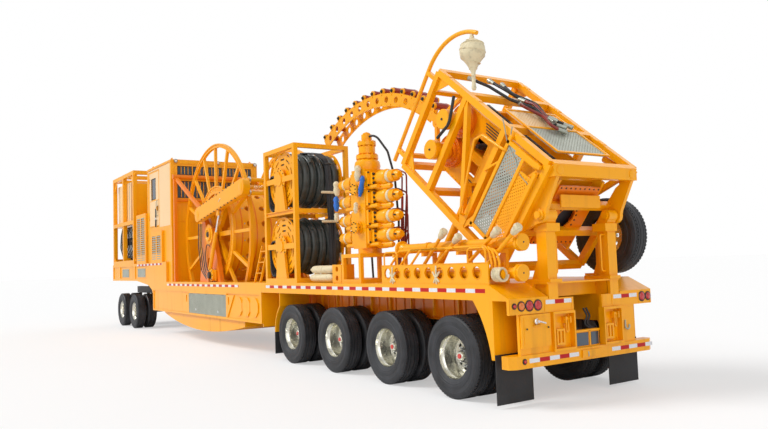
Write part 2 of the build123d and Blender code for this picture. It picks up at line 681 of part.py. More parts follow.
with BuildPart() as hose_reel_frame:
    post = 80
    for x in (hose_x[0], hose_x[1] - post):
        for y in (hose_y[0], hose_y[1] - post):
            block((x, x + post), (y, y + post), (deck_top, hose_top))
        for z in (deck_top, 2690, hose_top - post):
            block((x, x + post), hose_y, (z, z + post))
    for y in (hose_y[0], hose_y[1] - post):
        for z in (deck_top, 2690, hose_top - post):
            block(hose_x, (y, y + post), (z, z + post))
        for z, foot in zip(spool_z, (deck_top + post, 2690 + post)):
            # bearing on a rail, with the drive's tapering pedestal under it
            block(hose_x, (y + 15, y + 65), (z - 50, z + 50))
            boss([(spool_x - 230, foot), (spool_x - 110, z), (spool_x + 110, z), (spool_x + 230, foot)],
                 y + 65, 50)
            across(spool_x, z, (y, y + post), 110)
            across(spool_x, z, (y, y + post), 40 + running, Mode.SUBTRACT)
    # flanged middle beams
    for face in ((hose_y[0], hose_y[0] + 25), (hose_y[1] - 25, hose_y[1])):
        block((hose_x[0] + post, hose_x[1] - post), face, (2690 + 15, 2690 + post - 15), Mode.SUBTRACT)
save(hose_reel_frame, "hose_reel_frame")

spool_y = (hose_y[0] + 90, hose_y[1] - 90)
for name, z in (("lower", spool_z[0]), ("upper", spool_z[1])):
    with BuildPart() as spool:
        for y in (spool_y[0], spool_y[1] - 20):
            # side disc with rings of slots: radius, slots in the ring, slot length
            with BuildSketch(Plane(origin=(spool_x, y, z), z_dir=(0, 1, 0))):
                Circle(spool_r)
                for ring_r, slots, long in ((290, 8, 150), (390, 10, 170), (490, 12, 120)):
                    with PolarLocations(ring_r, slots):
                        SlotOverall(long, 34, rotation=90, mode=Mode.SUBTRACT)
            extrude(amount=20)
        across(spool_x, z, (spool_y[0] + 20, spool_y[1] - 20), 200)
        across(spool_x, z, hose_y, 40)
    save(spool, f"{name}_hose_spool")
    with BuildPart() as hose:
        # wraps side by side, each with bevelled shoulders
        turns = 6
        pitch = (spool_y[1] - spool_y[0] - 40) / turns
        with BuildSketch(Plane(origin=(spool_x, 0, z), x_dir=(0, 1, 0), z_dir=(1, 0, 0))):
            for n in range(turns):
                y = spool_y[0] + 20 + n * pitch
                with BuildLine():
                    Polyline((y, 200), (y, hose_wrap_r), (y + pitch * 0.2, hose_wrap_r + pitch * 0.4),
                             (y + pitch * 0.8, hose_wrap_r + pitch * 0.4), (y + pitch, hose_wrap_r),
                             (y + pitch, 200), close=True)
                make_face()
        revolve(axis=Axis((spool_x, 0, z), (0, 1, 0)))
    save(hose, f"{name}_hose")

ram_z = (2170, 2460, 2770, 3070)

with BuildPart() as bop_stand:
    for x in (bop_x - 290, bop_x + 230):
        for y in (bop_y - 370, bop_y + 310):
            block((x, x + 60), (y, y + 60), (deck_top, 1900))
        for z in (deck_top, 1840):
            block((x, x + 60), (bop_y - 370, bop_y + 370), (z, z + 60))
    for y in (bop_y - 370, bop_y + 310):
        for z in (deck_top, 1840):
            block((bop_x - 290, bop_x + 290), (y, y + 60), (z, z + 60))
    block((bop_x - 290, bop_x + 290), (bop_y - 310, bop_y + 310), (1880, 1900))
save(bop_stand, "bop_stand")

with BuildPart() as bop_stack:
    block((bop_x - 190, bop_x + 190), (bop_y - 190, bop_y + 190), (1980, 3240))
    # round sections: z from, z to, radius
    for z0, z1, r in [
        (1900, 1980, 190), (3240, 3300, 200), (3300, 3420, 140), (3420, 3480, 180),
        (3480, 3640, 110), (3640, 3700, 150), (3700, 3820, 85),
    ]:
        rod((bop_x, bop_y, z0), (bop_x, bop_y, z1), r)
    for z in ram_z:
        for s in (-1, 1):
            block(sorted((bop_x + s * 190, bop_x + s * 255)), (bop_y - 175, bop_y + 175), (z - 120, z + 120))
            block(sorted((bop_x + s * 255, bop_x + s * 330)), (bop_y - 130, bop_y + 130), (z - 95, z + 95))
        rod((bop_x - 820, bop_y, z), (bop_x + 820, bop_y, z), 62)
        for s in (-1, 1):
            rod((bop_x + s * 330, bop_y, z), (bop_x + s * 400, bop_y, z), 105)
            rod((bop_x + s * 620, bop_y, z), (bop_x + s * 800, bop_y, z), 92)
        for y in (-120, 120):
            rod((bop_x - 480, bop_y + y, z - 135), (bop_x + 480, bop_y + y, z - 135), 34)
save(bop_stack, "bop_stack")

rack_x = (6850, 9020)
with BuildPart() as side_rack:
    y = (-1270, -1245)
    block((rack_x[0], rack_x[1] + 120), y, (deck_top, 1700))
    for n in range(9):
        x = rack_x[0] + 150 + n * (rack_x[1] - rack_x[0] - 240) / 8
        across(x, 1585, y, 75, Mode.SUBTRACT)
    for x in (rack_x[0] + 60, 8760):
        bent([(x, -1257, 1695), (x, -1257, 1885), (x + 330, -1257, 1885), (x + 330, -1257, 1695)], 12, 60)
    for x in (rack_x[0] + 40, 7600, 8350, rack_x[1]):
        block((x, x + 50), (-1245, -860), (deck_top, 1500))
        block((x, x + 50), (-910, -860), (1500, 1860))
        block((x, x + 50), (-1100, -910), (1810, 1860))
save(side_rack, "side_rack")

with BuildPart() as rack_pipes:
    for y, z, x0 in ((-1020, 1568, 6800), (-1000, 1928, 7000)):
        rod((x0, y, z), (9400, y, z), 68)
        rod((9400, y, z), (9440, y, z), 105)
    rod((7000, -1155, 1560), (9300, -1155, 1560), 60)
save(rack_pipes, "rack_pipes")

with BuildPart() as rear_posts:
    for side in (-1, 1):
        y = sorted((side * post_y[0], side * post_y[1]))
        block((tail_x - 160, tail_x), y, (deck_top, 2150))
        # cap, grab rail on the inner face
        block((tail_x - 185, tail_x + 25), sorted((side * 420, side * 648)), (2050, 2150))
        bent([(tail_x - 60, side * (post_y[0] + 5), 1540), (tail_x - 60, side * 410, 1540),
              (tail_x - 60, side * 410, 2010), (tail_x - 60, side * (post_y[0] + 5), 2010)], 12, 30)
        block((tail_x - 380, tail_x + 40), sorted((side * 440, side * 645)), (deck_top, 1480))
        with BuildSketch(Plane.XZ.offset(-y[1])):
            with BuildLine():
                Polyline((tail_x - 160, 2150), (tail_x, 2150), (pin_x + 75, pin_z), (pin_x - 75, pin_z),
                         close=True)
            make_face()
            with Locations((pin_x, pin_z)):
                Circle(75)
        extrude(amount=160)
        across(pin_x, pin_z, sorted((side * 460, side * 760)), pin_r)
        with BuildSketch(Plane.XZ.offset(-side * 560 - 15)):
            with BuildLine():
                Polyline((tail_x - 160, deck_top), (tail_x - 160, 1850), (tail_x - 340, deck_top), close=True)
            make_face()
        extrude(amount=30)
    fork(mast_base, mast_y, 35, 80, (deck_top, mast_base[1] + 60), 26)
save(rear_posts, "rear_posts")

arch_r = 3055
arch_c = (4955, 1555)
arch_hinge = inj(-330, 760 + 160)


def inj_cross(u, v, y, w, h=None, mode=Mode.ADD):
    """A bar along Y through (u, v), squared to the injector frame."""
    a, b = Vector(*inj(u, v, y[0])), Vector(*inj(u, v, y[1]))
    along = Vector(*inj(1, 0)) - Vector(*inj(0, 0))
    with Locations(Plane(origin=(a + b) / 2, x_dir=along, z_dir=(0, 1, 0))):
        Box(w, h or w, y[1] - y[0], mode=mode)


def inj_plate(points, y, depth):
    """A flat plate whose outline is given along and across the injector frame."""
    boss([(p[0], p[2]) for p in (inj(*point) for point in points)], y, depth)


rail_y = inj_half - tube / 2
mast_eye = (inj(*mast_lug)[0], inj(*mast_lug)[2])

with BuildPart() as injector_frame:
    for y in (-rail_y, rail_y):
        for u0, v0, u1, v1 in [
            (0, 0, inj_len, 0), (0, inj_deep, inj_len, inj_deep), (0, 0, 0, inj_deep),
            (inj_len, 0, inj_len, inj_deep), (740, 0, 740, inj_deep), (1650, 0, 1650, inj_deep),
        ]:
            member(inj(u0, v0, y), inj(u1, v1, y), tube)
        member(inj(740, 0, y), inj(1650, inj_deep, y), 70)
        member(inj(1650, inj_deep, y), inj(inj_len, 0, y), 70)
        # corner gussets: corner, and the way in along the frame and across it
        for u, v, du, dv in ((0, 0, 1, 1), (0, inj_deep, 1, -1), (inj_len, 0, -1, 1)):
            inj_plate([(u, v), (u + du * 330, v), (u, v + dv * 330)], y + 8, 16)
    for u, v in ((0, 0), (740, 0), (1650, 0), (inj_len, 0), (0, inj_deep), (740, inj_deep),
                 (inj_len, inj_deep)):
        inj_cross(u, v, (-rail_y, rail_y), tube)
    inj_cross(inj_len, 560, (-rail_y, rail_y), tube)
    inj_cross(inj_len, 960, (-rail_y, rail_y), tube)
    # header beam over the rear pins
    block((tail_x + 165, tail_x + 290), (-rail_y, rail_y), (2680, 2830))
    # lugs that turn on the rear pins, reaching up to the header
    a, b = inj(inj_len - 30, 300), inj(inj_len - 30, 1050)
    for side in (-1, 1):
        y = sorted((side * 655, side * 709))
        with BuildSketch(Plane.XZ.offset(-y[1])):
            with BuildLine():
                Polyline((a[0], a[2]), (tail_x + 170, 2700), (tail_x + 285, 2700), (pin_x + 110, pin_z + 60),
                         (pin_x + 80, pin_z - 60), (pin_x - 30, pin_z - 100), (b[0], b[2]), close=True)
            make_face()
            with Locations((pin_x, pin_z)):
                Circle(100)
        extrude(amount=y[1] - y[0])
        across(pin_x, pin_z, y, pin_r + running, Mode.SUBTRACT)
    # lift lugs on the inner faces of the side frames
    fork(mast_eye, mast_y, 35, 70, (mast_eye[1] - 70, mast_eye[1] + 120))
    mirrored((mast_eye[0] - 70, mast_eye[0] + 70), (mast_y - 61, rail_y - 35),
             (mast_eye[1] + 80, mast_eye[1] + 120))
    mirrored((mast_eye[0] - 70, mast_eye[0] + 70), (mast_y + 60, rail_y - 35),
             (mast_eye[1] - 70, mast_eye[1] + 120))
    # feet of the guide arch
    for v in (300, 1350):
        inj_cross(0, v, (-rail_y, rail_y), 60)
    for side in (-1, 1):
        y = side * 190
        for v in (300, 1350):
            member(inj(0, v, y), (arch_hinge[0], y, arch_hinge[2]), 60)
        across(arch_hinge[0], arch_hinge[2], sorted((side * 160, side * 220)), 80)
        across(arch_hinge[0], arch_hinge[2], sorted((side * 100, side * 230)), 30)
save(injector_frame, "injector_frame")

with BuildPart() as injector_head:
    # inner chain box and side plates on the bottom frame
    for y in (-420, 380):
        member(inj(350, 760, y + 20), inj(inj_len - tube / 2, 760, y + 20), 40, 1060)
    for y in (-400, 400):
        for u, v, long, deep in ((1000, 620, 260, 200), (1000, 960, 260, 200), (1600, 760, 420, 260)):
            inj_cross(u, v, (y - 30, y + 30), long, deep, Mode.SUBTRACT)
    for v in (500, 1020):
        member(inj(420, v), inj(2250, v), 240, 330)
    for u in (600, 2000):
        for v in (450, 935):
            rod(inj(u, v, -400), inj(u, v, 400), 90)
    for u in (400, 2300):
        inj_cross(u, 760, (-380, 380), 60, 900)
save(injector_head, "injector_head")

with BuildPart() as drive_motors:
    # stepped ring housing, motor and end cap: distance out from the head, radius
    steps = [(0, 235), (90, 235), (90, 195), (120, 195), (120, 150), (220, 150), (220, 110), (280, 110)]
    for v in (450, 935):
        for side in (-1, 1):
            centre = inj(600, v, side * 420)
            with BuildSketch(Plane(origin=centre, x_dir=(0, side, 0), z_dir=(1, 0, 0))):
                with BuildLine():
                    Polyline((0, 0), *steps, (280, 0), close=True)
                make_face()
            revolve(axis=Axis(centre, (0, 1, 0)))
save(drive_motors, "drive_motors")

with BuildPart() as platforms:
    y = -inj_half
    member(inj(1790, 0, y - 15), inj(1790, inj_deep - 240, y - 15), 30, 260)
    member(inj(2080, 0, y - 15), inj(2080, inj_deep - 240, y - 15), 30, 240)
    member(inj(1200, -tube / 2 - 15, 0), inj(2300, -tube / 2 - 15, 0), 900, 30)
    # handrail round the platform
    out = y - 70
    bent([inj(1620, 1329, y), inj(1620, 1329, out), inj(1304, 367, out), inj(1407, 240, out),
          inj(1871, 196, out), inj(1871, 196, y - 25)], 17, 28)
save(platforms, "platforms")

with BuildPart() as guide_arch:
    start, end = 54, 123
    for y in (-150, 130):
        with BuildSketch(Plane.XZ.offset(-y - 20)):
            with BuildLine():
                CenterArc(arch_c, arch_r + 110, start, end - start)
                CenterArc(arch_c, arch_r - 110, start, end - start)
                for a in (start, end):
                    d = (cos(radians(a)), sin(radians(a)))
                    Line((arch_c[0] + d[0] * (arch_r - 110), arch_c[1] + d[1] * (arch_r - 110)),
                         (arch_c[0] + d[0] * (arch_r + 110), arch_c[1] + d[1] * (arch_r + 110)))
            make_face()
            for n in range(12):
                a = radians(start + 4 + n * (end - start - 8) / 11)
                with Locations((arch_c[0] + cos(a) * arch_r, arch_c[1] + sin(a) * arch_r)):
                    Circle(58, mode=Mode.SUBTRACT)
        extrude(amount=20)
    for n in range(13):
        a = radians(start + 1.2 + n * (end - start - 2.4) / 12)
        c = (arch_c[0] + cos(a) * (arch_r + 150), arch_c[1] + sin(a) * (arch_r + 150))
        across(*c, (-150, 150), 55)
        for y in (-150, 130):
            member((arch_c[0] + cos(a) * arch_r, y + 10, arch_c[1] + sin(a) * arch_r), (c[0], y + 10, c[1]),
                   20, 90)
    # cheeks and hub on the fold pin
    a = radians(start + 1)
    for y in (-140, 140):
        member((arch_c[0] + cos(a) * arch_r, y, arch_c[1] + sin(a) * arch_r),
               (arch_hinge[0], y, arch_hinge[2]), 20, 130)
    across(arch_hinge[0], arch_hinge[2], (-150, 150), 65)
    across(arch_hinge[0], arch_hinge[2], (-150, 150), 30 + running, Mode.SUBTRACT)
save(guide_arch, "guide_arch")

cylinder_pair("mast", mast_base, mast_eye, mast_y, 60, 35, 26, 0.85)

pole_out = -265
lamp = (8450, 4680)

with BuildPart() as lamp_pole:
    # straight foot and one arc over the top, standing off the end frame on brackets
    foot, bend, tip = inj(pole_out, 1600, -rail_y), inj(pole_out, 67, -rail_y), inj(413, -765, -rail_y)
    upward = Vector(*bend) - Vector(*foot)
    with BuildLine() as pole_path:
        Line(foot, bend)
        TangentArc(bend, tip, tangent=upward)
    with BuildSketch(Plane(origin=foot, z_dir=upward)):
        Circle(30)
    sweep(path=pole_path.line)
    # pear-shaped lamp with its cord end, wrapped in cloth
    with BuildSketch(Plane.XZ.offset(rail_y)):
        with BuildLine():
            Line((lamp[0], lamp[1] + 90), (lamp[0] + 16, lamp[1] + 90))
            Line((lamp[0] + 16, lamp[1] + 90), (lamp[0] + 16, lamp[1]))
            ThreePointArc((lamp[0] + 16, lamp[1]), (lamp[0] + 165, lamp[1] - 150), (lamp[0] + 100, lamp[1] - 300))
            Line((lamp[0] + 100, lamp[1] - 300), (lamp[0] + 16, lamp[1] - 440))
            Line((lamp[0] + 16, lamp[1] - 440), (lamp[0] + 16, lamp[1] - 680))
            Line((lamp[0] + 16, lamp[1] - 680), (lamp[0], lamp[1] - 680))
            Line((lamp[0], lamp[1] - 680), (lamp[0], lamp[1] + 90))
        make_face()
    revolve(axis=Axis((lamp[0], -rail_y, 0), (0, 0, 1)))
    for v in (120, inj_deep - 120):
        member(inj(-tube / 2, v, -rail_y), inj(pole_out, v, -rail_y), 60)
save(lamp_pole, "lamp_pole")

spare = (9000, 1150, 2010)
spare_in = spare[1] - tyre_w / 2

with BuildPart() as spare_wheel:
    with BuildSketch(Plane(origin=(spare[0], spare_in, spare[2]), x_dir=(0, 1, 0), z_dir=(1, 0, 0))):
        with BuildLine():
            Polyline(*tyre_outline, close=True)
        make_face()
        with Locations((tyre_w / 2, rim_r - 28)):
            Rectangle(tyre_w - 70, 24)
        with Locations((60, (80 + rim_r - 30) / 2)):
            Rectangle(24, rim_r - 110)
    revolve(axis=Axis((spare[0], 0, spare[2]), (0, 1, 0)))
save(spare_wheel, "spare_wheel")

with BuildPart() as spare_carrier:
    block((spare[0] - 60, spare[0] + 60), (960, spare_in + 48), (spare[2] - 60, spare[2] + 60))
    block((spare[0] - 60, spare[0] + 60), (900, 960), (deck_top, spare[2] + 160))
    block((spare[0] - 250, tail_x - corner_run), (880, 980), (deck_top, deck_top + 60))
    across(spare[0], spare[2], (spare_in + 40, spare_in + 90), 79)
save(spare_carrier, "spare_carrier")
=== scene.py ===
from math import cos, pi, radians, sin

import bmesh
import bpy
from mathutils import Matrix, Vector
from mathutils.geometry import tessellate_polygon


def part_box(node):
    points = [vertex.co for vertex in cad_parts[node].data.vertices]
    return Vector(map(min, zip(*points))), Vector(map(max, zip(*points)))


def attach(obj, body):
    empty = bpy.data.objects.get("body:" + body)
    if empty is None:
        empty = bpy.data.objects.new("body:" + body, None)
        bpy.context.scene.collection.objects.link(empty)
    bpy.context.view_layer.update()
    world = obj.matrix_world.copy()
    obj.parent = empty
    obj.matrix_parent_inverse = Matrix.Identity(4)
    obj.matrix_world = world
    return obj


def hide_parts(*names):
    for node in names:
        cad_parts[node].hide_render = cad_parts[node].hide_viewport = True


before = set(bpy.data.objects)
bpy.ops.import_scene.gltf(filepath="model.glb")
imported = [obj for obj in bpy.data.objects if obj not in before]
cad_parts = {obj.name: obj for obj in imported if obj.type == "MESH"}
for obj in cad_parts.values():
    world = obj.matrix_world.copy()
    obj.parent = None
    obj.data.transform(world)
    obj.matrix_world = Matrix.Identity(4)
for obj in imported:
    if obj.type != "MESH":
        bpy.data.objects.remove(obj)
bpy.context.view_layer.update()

bl_info = {
    "name": "Coiled tubing unit",
    "version": (1, 0, 0),
    "blender": (4, 5, 0),
    "location": "View3D > Sidebar > Tubing unit",
    "description": "Finishes and fittings of a coiled tubing unit, built around its solids",
    "category": "Object",
}

TURN = 2 * pi

# Places taken from the solids, in metres
HALF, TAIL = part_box("deck")[1].y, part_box("deck")[1].x
TYRE_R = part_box("wheel_4_left")[1].z / 2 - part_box("wheel_4_left")[0].z / 2
WHEEL_STATIONS = {node: sum(corner.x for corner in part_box(node)) / 2
                  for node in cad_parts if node.startswith(("wheel_", "dolly_wheel_"))}
CABIN_LOW, CABIN_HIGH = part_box("cabin_shell")
REEL_CENTRE = tuple(sum(corner[axis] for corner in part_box("reel_flanges")) / 2 for axis in (0, 2))

# Sizes and places of the solids' parts that a box doesn't give, in metres
TYRE_WIDTH, TWIN_GAP = 0.275, 0.05
DRUM_R = 1.1
CABIN_BACK = -3.32
HOSE_REEL_X, HOSE_REEL_HEIGHTS = 3.48, {"lower": 2.11, "upper": 3.35}
STACK_X, STACK_Y, RAMS = 5.9, -0.85, (2.17, 2.46, 2.77, 3.07)
INJECTOR_X, INJECTOR_Z, INJECTOR_TILT = 7.75, 4.4, radians(38.6)
INJECTOR_LEFT = -0.8
ARCH_CENTRE, ARCH_R = Vector((4.955, 0, 1.555)), 3.055

# Sizes of the fittings, in metres
PERFORATED_SHEET = 0.006
HAND_HOLE_RING, WHEEL_NUT_RING = 0.188, 0.143


class Sock:
    """A node's socket. Arithmetic on it adds Math nodes to its tree."""

    def __init__(self, graph, socket):
        self.graph, self.socket = graph, socket

    def math(self, operation, *values, clamp=False):
        return self.graph.add("ShaderNodeMath", {"operation": operation, "use_clamp": clamp},
                              dict(enumerate(values)))

    def __add__(self, other):
        return self.math("ADD", self, other)

    def __sub__(self, other):
        return self.math("SUBTRACT", self, other)

    def __rsub__(self, other):
        return self.math("SUBTRACT", other, self)

    def __mul__(self, other):
        return self.math("MULTIPLY", self, other)

    def __truediv__(self, other):
        return self.math("DIVIDE", self, other)

    def __mod__(self, other):
        return self.math("FLOORED_MODULO", self, other)

    def __lt__(self, other):
        return self.math("LESS_THAN", self, other)

    def clip(self):
        return self.math("ADD", self, 0.0, clamp=True)

    __radd__, __rmul__ = __add__, __mul__


class Graph:
    """A node tree being built."""

    def __init__(self, tree):
        self.tree = tree
        tree.nodes.clear()

    def add(self, kind, settings=None, sockets=None, out=0):
        """Adds a node, makes its settings, then fills or links its sockets."""
        node = self.tree.nodes.new(kind)
        for key, value in (settings or {}).items():
            setattr(node, key, value)
        for key, value in (sockets or {}).items():
            if isinstance(value, Sock):
                self.tree.links.new(value.socket, node.inputs[key])
            else:
                node.inputs[key].default_value = value
        return Sock(self, node.outputs[out]) if len(node.outputs) else node

    def place(self):
        return self.add("ShaderNodeTexCoord", out="Object")

    def noise(self, scale, detail=2.0, stretch=(1, 1, 1), rough=0.5):
        where = self.add("ShaderNodeMapping", {}, {"Vector": self.place(), "Scale": stretch})
        return self.add("ShaderNodeTexNoise", {},
                        {"Vector": where, "Scale": scale, "Detail": detail, "Roughness": rough})

    def cells(self, scale, feature="F1"):
        where = self.add("ShaderNodeMapping", {}, {"Vector": self.place()})
        return self.add("ShaderNodeTexVoronoi", {"feature": feature}, {"Vector": where, "Scale": scale})

    def blend(self, amount, a, b):
        """Mixes two colours."""
        tones = [(*c, 1) if isinstance(c, tuple) and len(c) == 3 else c for c in (a, b)]
        return self.add("ShaderNodeMix", {"data_type": "RGBA"}, {0: amount, 6: tones[0], 7: tones[1]}, out=2)

    def height(self, axis="Z"):
        return self.add("ShaderNodeSeparateXYZ", {}, {0: self.place()}, out=axis)

    def bump(self, height, strength, distance=0.01):
        return self.add("ShaderNodeBump", {}, {"Height": height, "Strength": strength, "Distance": distance})


def finish(name, colour, build=None, rough=0.5, metal=0.0, **fixed):
    """A material. build adds its nodes and returns the sockets that change over the surface."""
    made = bpy.data.materials.new(name)
    made.use_nodes = True
    graph = Graph(made.node_tree)
    sockets = {"Base Color": (*colour, 1), "Roughness": rough, "Metallic": metal, **fixed}
    if build:
        sockets.update(build(graph, tuple(colour)))
    shader = graph.add("ShaderNodeBsdfPrincipled", {}, sockets)
    graph.add("ShaderNodeOutputMaterial", {}, {0: shader})
    return made


def shade(colour, factor):
    return tuple(min(1.0, c * factor) for c in colour)


def linear(red, green, blue):
    """The scene's colour for one written on a 0 to 255 screen scale."""
    return tuple((c / 255 / 12.92) if c <= 10 else ((c / 255 + 0.055) / 1.055) ** 2.4
                 for c in (red, green, blue))


# Finishes

def enamel(graph, colour):
    """Gloss enamel with slight fading, rain streaks and road dirt low down."""
    fade = graph.noise(0.7, 3)
    streak = graph.noise(6, 4, (1, 1, 0.06))
    speck = graph.noise(38, 3)
    low = (1.0 - graph.height() * 0.7).clip()
    dirt = (((streak - 0.56) * 4).clip() * (0.16 + low * 0.4) + ((speck - 0.64) * 5).clip() * 0.3).clip()
    base = graph.blend(fade, shade(colour, 0.9), shade(colour, 1.06))
    return {
        "Base Color": graph.blend(dirt, base, (0.17, 0.075, 0.02)),
        "Roughness": 0.27 + dirt * 0.45 + fade * 0.1,
        "Normal": graph.bump(graph.noise(70, 2), 0.06, 0.004),
    }


def worn_black(graph, colour):
    """Satin black paint, dusty, chipped in small patches."""
    chips = ((graph.noise(26, 4) - 0.66) * 12).clip()
    dust = graph.noise(3, 4)
    base = graph.blend(dust, colour, shade(colour, 2.4))
    return {
        "Base Color": graph.blend(chips, base, (0.10, 0.06, 0.035)),
        "Roughness": 0.38 + dust * 0.3,
        "Normal": graph.bump(graph.noise(60, 2), 0.1, 0.004),
    }


def rubber(graph, colour):
    """Tyre and hose rubber: fine grain with paler dust in patches."""
    dust = ((graph.noise(5, 5) - 0.42) * 2.4).clip()
    grain = graph.noise(240, 2)
    return {
        "Base Color": graph.blend(dust, colour, shade(colour, 2.6)),
        "Roughness": 0.5 + dust * 0.3,
        "Normal": graph.bump(grain + graph.noise(30, 3) * 2, 0.22, 0.004),
    }


def hose_cover(graph, colour):
    """Hose rubber with wrapped-cloth marks and rubbed, greyer crowns."""
    rub = ((graph.noise(9, 4, (1, 0.3, 1)) - 0.45) * 3).clip()
    marks = graph.noise(130, 2, (1, 3, 1))
    return {
        "Base Color": graph.blend(rub, colour, shade(colour, 2.2)),
        "Roughness": 0.34 + rub * 0.25,
        "Normal": graph.bump(marks, 0.2, 0.004),
    }


def polished(graph, colour):
    """Polished aluminium: fine brush marks, brake dust in soft patches."""
    dust = ((graph.noise(8, 4) - 0.5) * 2.5).clip()
    brushed = graph.noise(150, 2, (1, 0.15, 1))
    return {
        "Base Color": graph.blend(dust, colour, shade(colour, 0.82)),
        "Roughness": 0.2 + dust * 0.15 + brushed * 0.1,
        "Normal": graph.bump(brushed, 0.08, 0.002),
    }


def bare_steel(graph, colour):
    """Bare or zinc-plated steel with faint spangle."""
    spangle = graph.cells(55)
    stain = graph.noise(4, 4)
    return {
        "Base Color": graph.blend(stain, shade(colour, 0.75), shade(colour, 1.15)),
        "Roughness": 0.34 + spangle * 0.25,
        "Normal": graph.bump(graph.noise(120, 2), 0.1, 0.003),
    }


def pale_paint(graph, colour):
    """Sun-bleached paint, chalky, with faint runs."""
    chalk = graph.noise(1.1, 4)
    runs = ((graph.noise(7, 4, (1, 1, 0.05)) - 0.58) * 4).clip()
    return {
        "Base Color": graph.blend(runs * 0.35, graph.blend(chalk, shade(colour, 0.93), shade(colour, 1.05)),
                                  shade(colour, 0.45)),
        "Roughness": 0.36 + chalk * 0.2,
        "Normal": graph.bump(graph.noise(60, 2), 0.06, 0.004),
    }


def tape(graph, colour):
    """Prismatic reflective tape: a fine honeycomb under a clear face."""
    comb = graph.cells(190, "DISTANCE_TO_EDGE")
    soil = ((graph.noise(12, 4) - 0.55) * 3).clip()
    line = (comb < 0.07) * 0.35
    return {
        "Base Color": graph.blend((line + soil * 0.3).clip(), colour, shade(colour, 0.5)),
        "Roughness": 0.3 + line * 0.3,
        "Normal": graph.bump(comb, 0.15, 0.001),
    }


def lens(graph, colour):
    """Moulded lamp lens with small prisms."""
    prism = graph.cells(95)
    return {
        "Base Color": graph.blend(prism, shade(colour, 1.25), shade(colour, 0.55)),
        "Normal": graph.bump(prism, 0.35, 0.003),
    }


def wrapping(graph, colour):
    """Thin sheet wound round a fitting: tight creases, soiled folds."""
    crease = graph.noise(34, 6, (1, 1, 2.4), rough=0.7)
    soil = ((graph.noise(16, 4) - 0.5) * 2.2).clip()
    return {
        "Base Color": graph.blend(soil, colour, shade(colour, 0.55)),
        "Roughness": 0.5 + soil * 0.3,
        "Normal": graph.bump(crease, 0.8, 0.012),
    }


def oiled_steel(graph, colour):
    """Dark oiled steel of chains and fittings."""
    oil = graph.noise(20, 4)
    return {
        "Base Color": graph.blend(oil, shade(colour, 0.5), shade(colour, 1.8)),
        "Roughness": 0.28 + oil * 0.3,
    }


def window(graph, colour):
    """Tinted cabin glass with a dusty film towards its edges."""
    film = graph.noise(2.2, 4)
    return {
        "Base Color": graph.blend(film, shade(colour, 0.6), shade(colour, 1.5)),
        "Roughness": 0.05 + film * 0.12,
    }


# name: colour on a 0 to 255 scale, how it varies, roughness, metal, fixed sockets
FINISHES = {
    "unit_enamel": ((248, 168, 0), enamel, 0.3, 0.0, {"Coat Weight": 0.12, "Specular IOR Level": 0.35}),
    # the next finish is the unit's enamel made darker and more orange: painted shade for parts that sit in
    # shadow
    "deep_enamel": ((234, 126, 6), enamel, 0.35, 0.0, {"Coat Weight": 0.12, "Specular IOR Level": 0.35}),
    "red_enamel": ((150, 42, 22), enamel, 0.35, 0.0, {"Coat Weight": 0.3, "Coat Roughness": 0.15}),
    "bleached_enamel": ((240, 202, 150), pale_paint, 0.4, 0.0, {"Coat Weight": 0.2}),
    "white_paint": ((222, 220, 210), pale_paint, 0.4, 0.0, {}),
    "frame_black": ((34, 34, 36), worn_black, 0.4, 0.0, {}),
    "tyre_rubber": ((38, 39, 42), rubber, 0.7, 0.0, {"Specular IOR Level": 0.4}),
    "hose_rubber": ((50, 56, 54), hose_cover, 0.4, 0.0, {}),
    "flap_rubber": ((30, 30, 32), rubber, 0.7, 0.0, {}),
    "red_hose": ((120, 34, 24), hose_cover, 0.4, 0.0, {}),
    "rim_aluminium": ((226, 224, 212), polished, 0.2, 1.0, {}),
    "chrome": ((228, 230, 232), polished, 0.12, 1.0, {}),
    "zinc": ((176, 180, 168), bare_steel, 0.4, 0.75, {}),
    "hub_steel": ((120, 120, 118), bare_steel, 0.4, 0.8, {}),
    "oiled_steel": ((70, 66, 62), oiled_steel, 0.4, 0.8, {}),
    "tape_red": ((190, 10, 18), tape, 0.4, 0.0, {"Specular IOR Level": 0.3}),
    "tape_white": ((226, 228, 232), tape, 0.3, 0.0, {"Coat Weight": 0.3}),
    "lens_red": ((198, 28, 26), lens, 0.12, 0.0, {"Coat Weight": 0.6}),
    "lens_amber": ((235, 120, 20), lens, 0.12, 0.0, {"Coat Weight": 0.6}),
    "cap_red": ((214, 60, 50), lens, 0.2, 0.0, {"Coat Weight": 0.4}),
    "beige_wrap": ((222, 208, 172), wrapping, 0.6, 0.0, {"Specular IOR Level": 0.4}),
    "blue_wrap": ((28, 108, 205), wrapping, 0.45, 0.0, {"Specular IOR Level": 0.5}),
    "cabin_glass": ((52, 66, 80), window, 0.08, 0.0, {"Coat Weight": 0.5}),
}

# CAD nodes that keep their own shape, by finish; the rest take the enamel
NODE_FINISHES = {
    "frame_black": ("dolly_frame", "engine_block"),
    "flap_rubber": ("mud_flaps",),
    "bleached_enamel": ("coolant_tank",),
    "cabin_glass": ("cabin_glass",),
    "chrome": ("levelwind_rod", "mast_rod"),
    "hose_rubber": ("upper_hose", "lower_hose"),
    "zinc": ("platforms",),
    "oiled_steel": ("running_gear",),
    "tyre_rubber": ("spare_wheel",),
    # the injector's motors and the reel's stand take the darker enamel, painted shade
    "deep_enamel": ("drive_motors", "reel_stand"),
}


# Meshes

def aim(a, b):
    """The place and turn of a bar from a to b: +Z along it, +X as near Y as it can be."""
    a, b = Vector(a), Vector(b)
    along = (b - a).normalized()
    side = Vector((0, 1, 0)) if abs(along.y) < 0.9 else Vector((1, 0, 0))
    side = (side - along * side.dot(along)).normalized()
    made = Matrix((side, along.cross(side), along)).transposed().to_4x4()
    made.translation = (a + b) / 2
    return made


def facing(origin, axis):
    """A frame at origin with +Z along axis."""
    made = aim((0, 0, 0), axis)
    made.translation = Vector(origin)
    return made


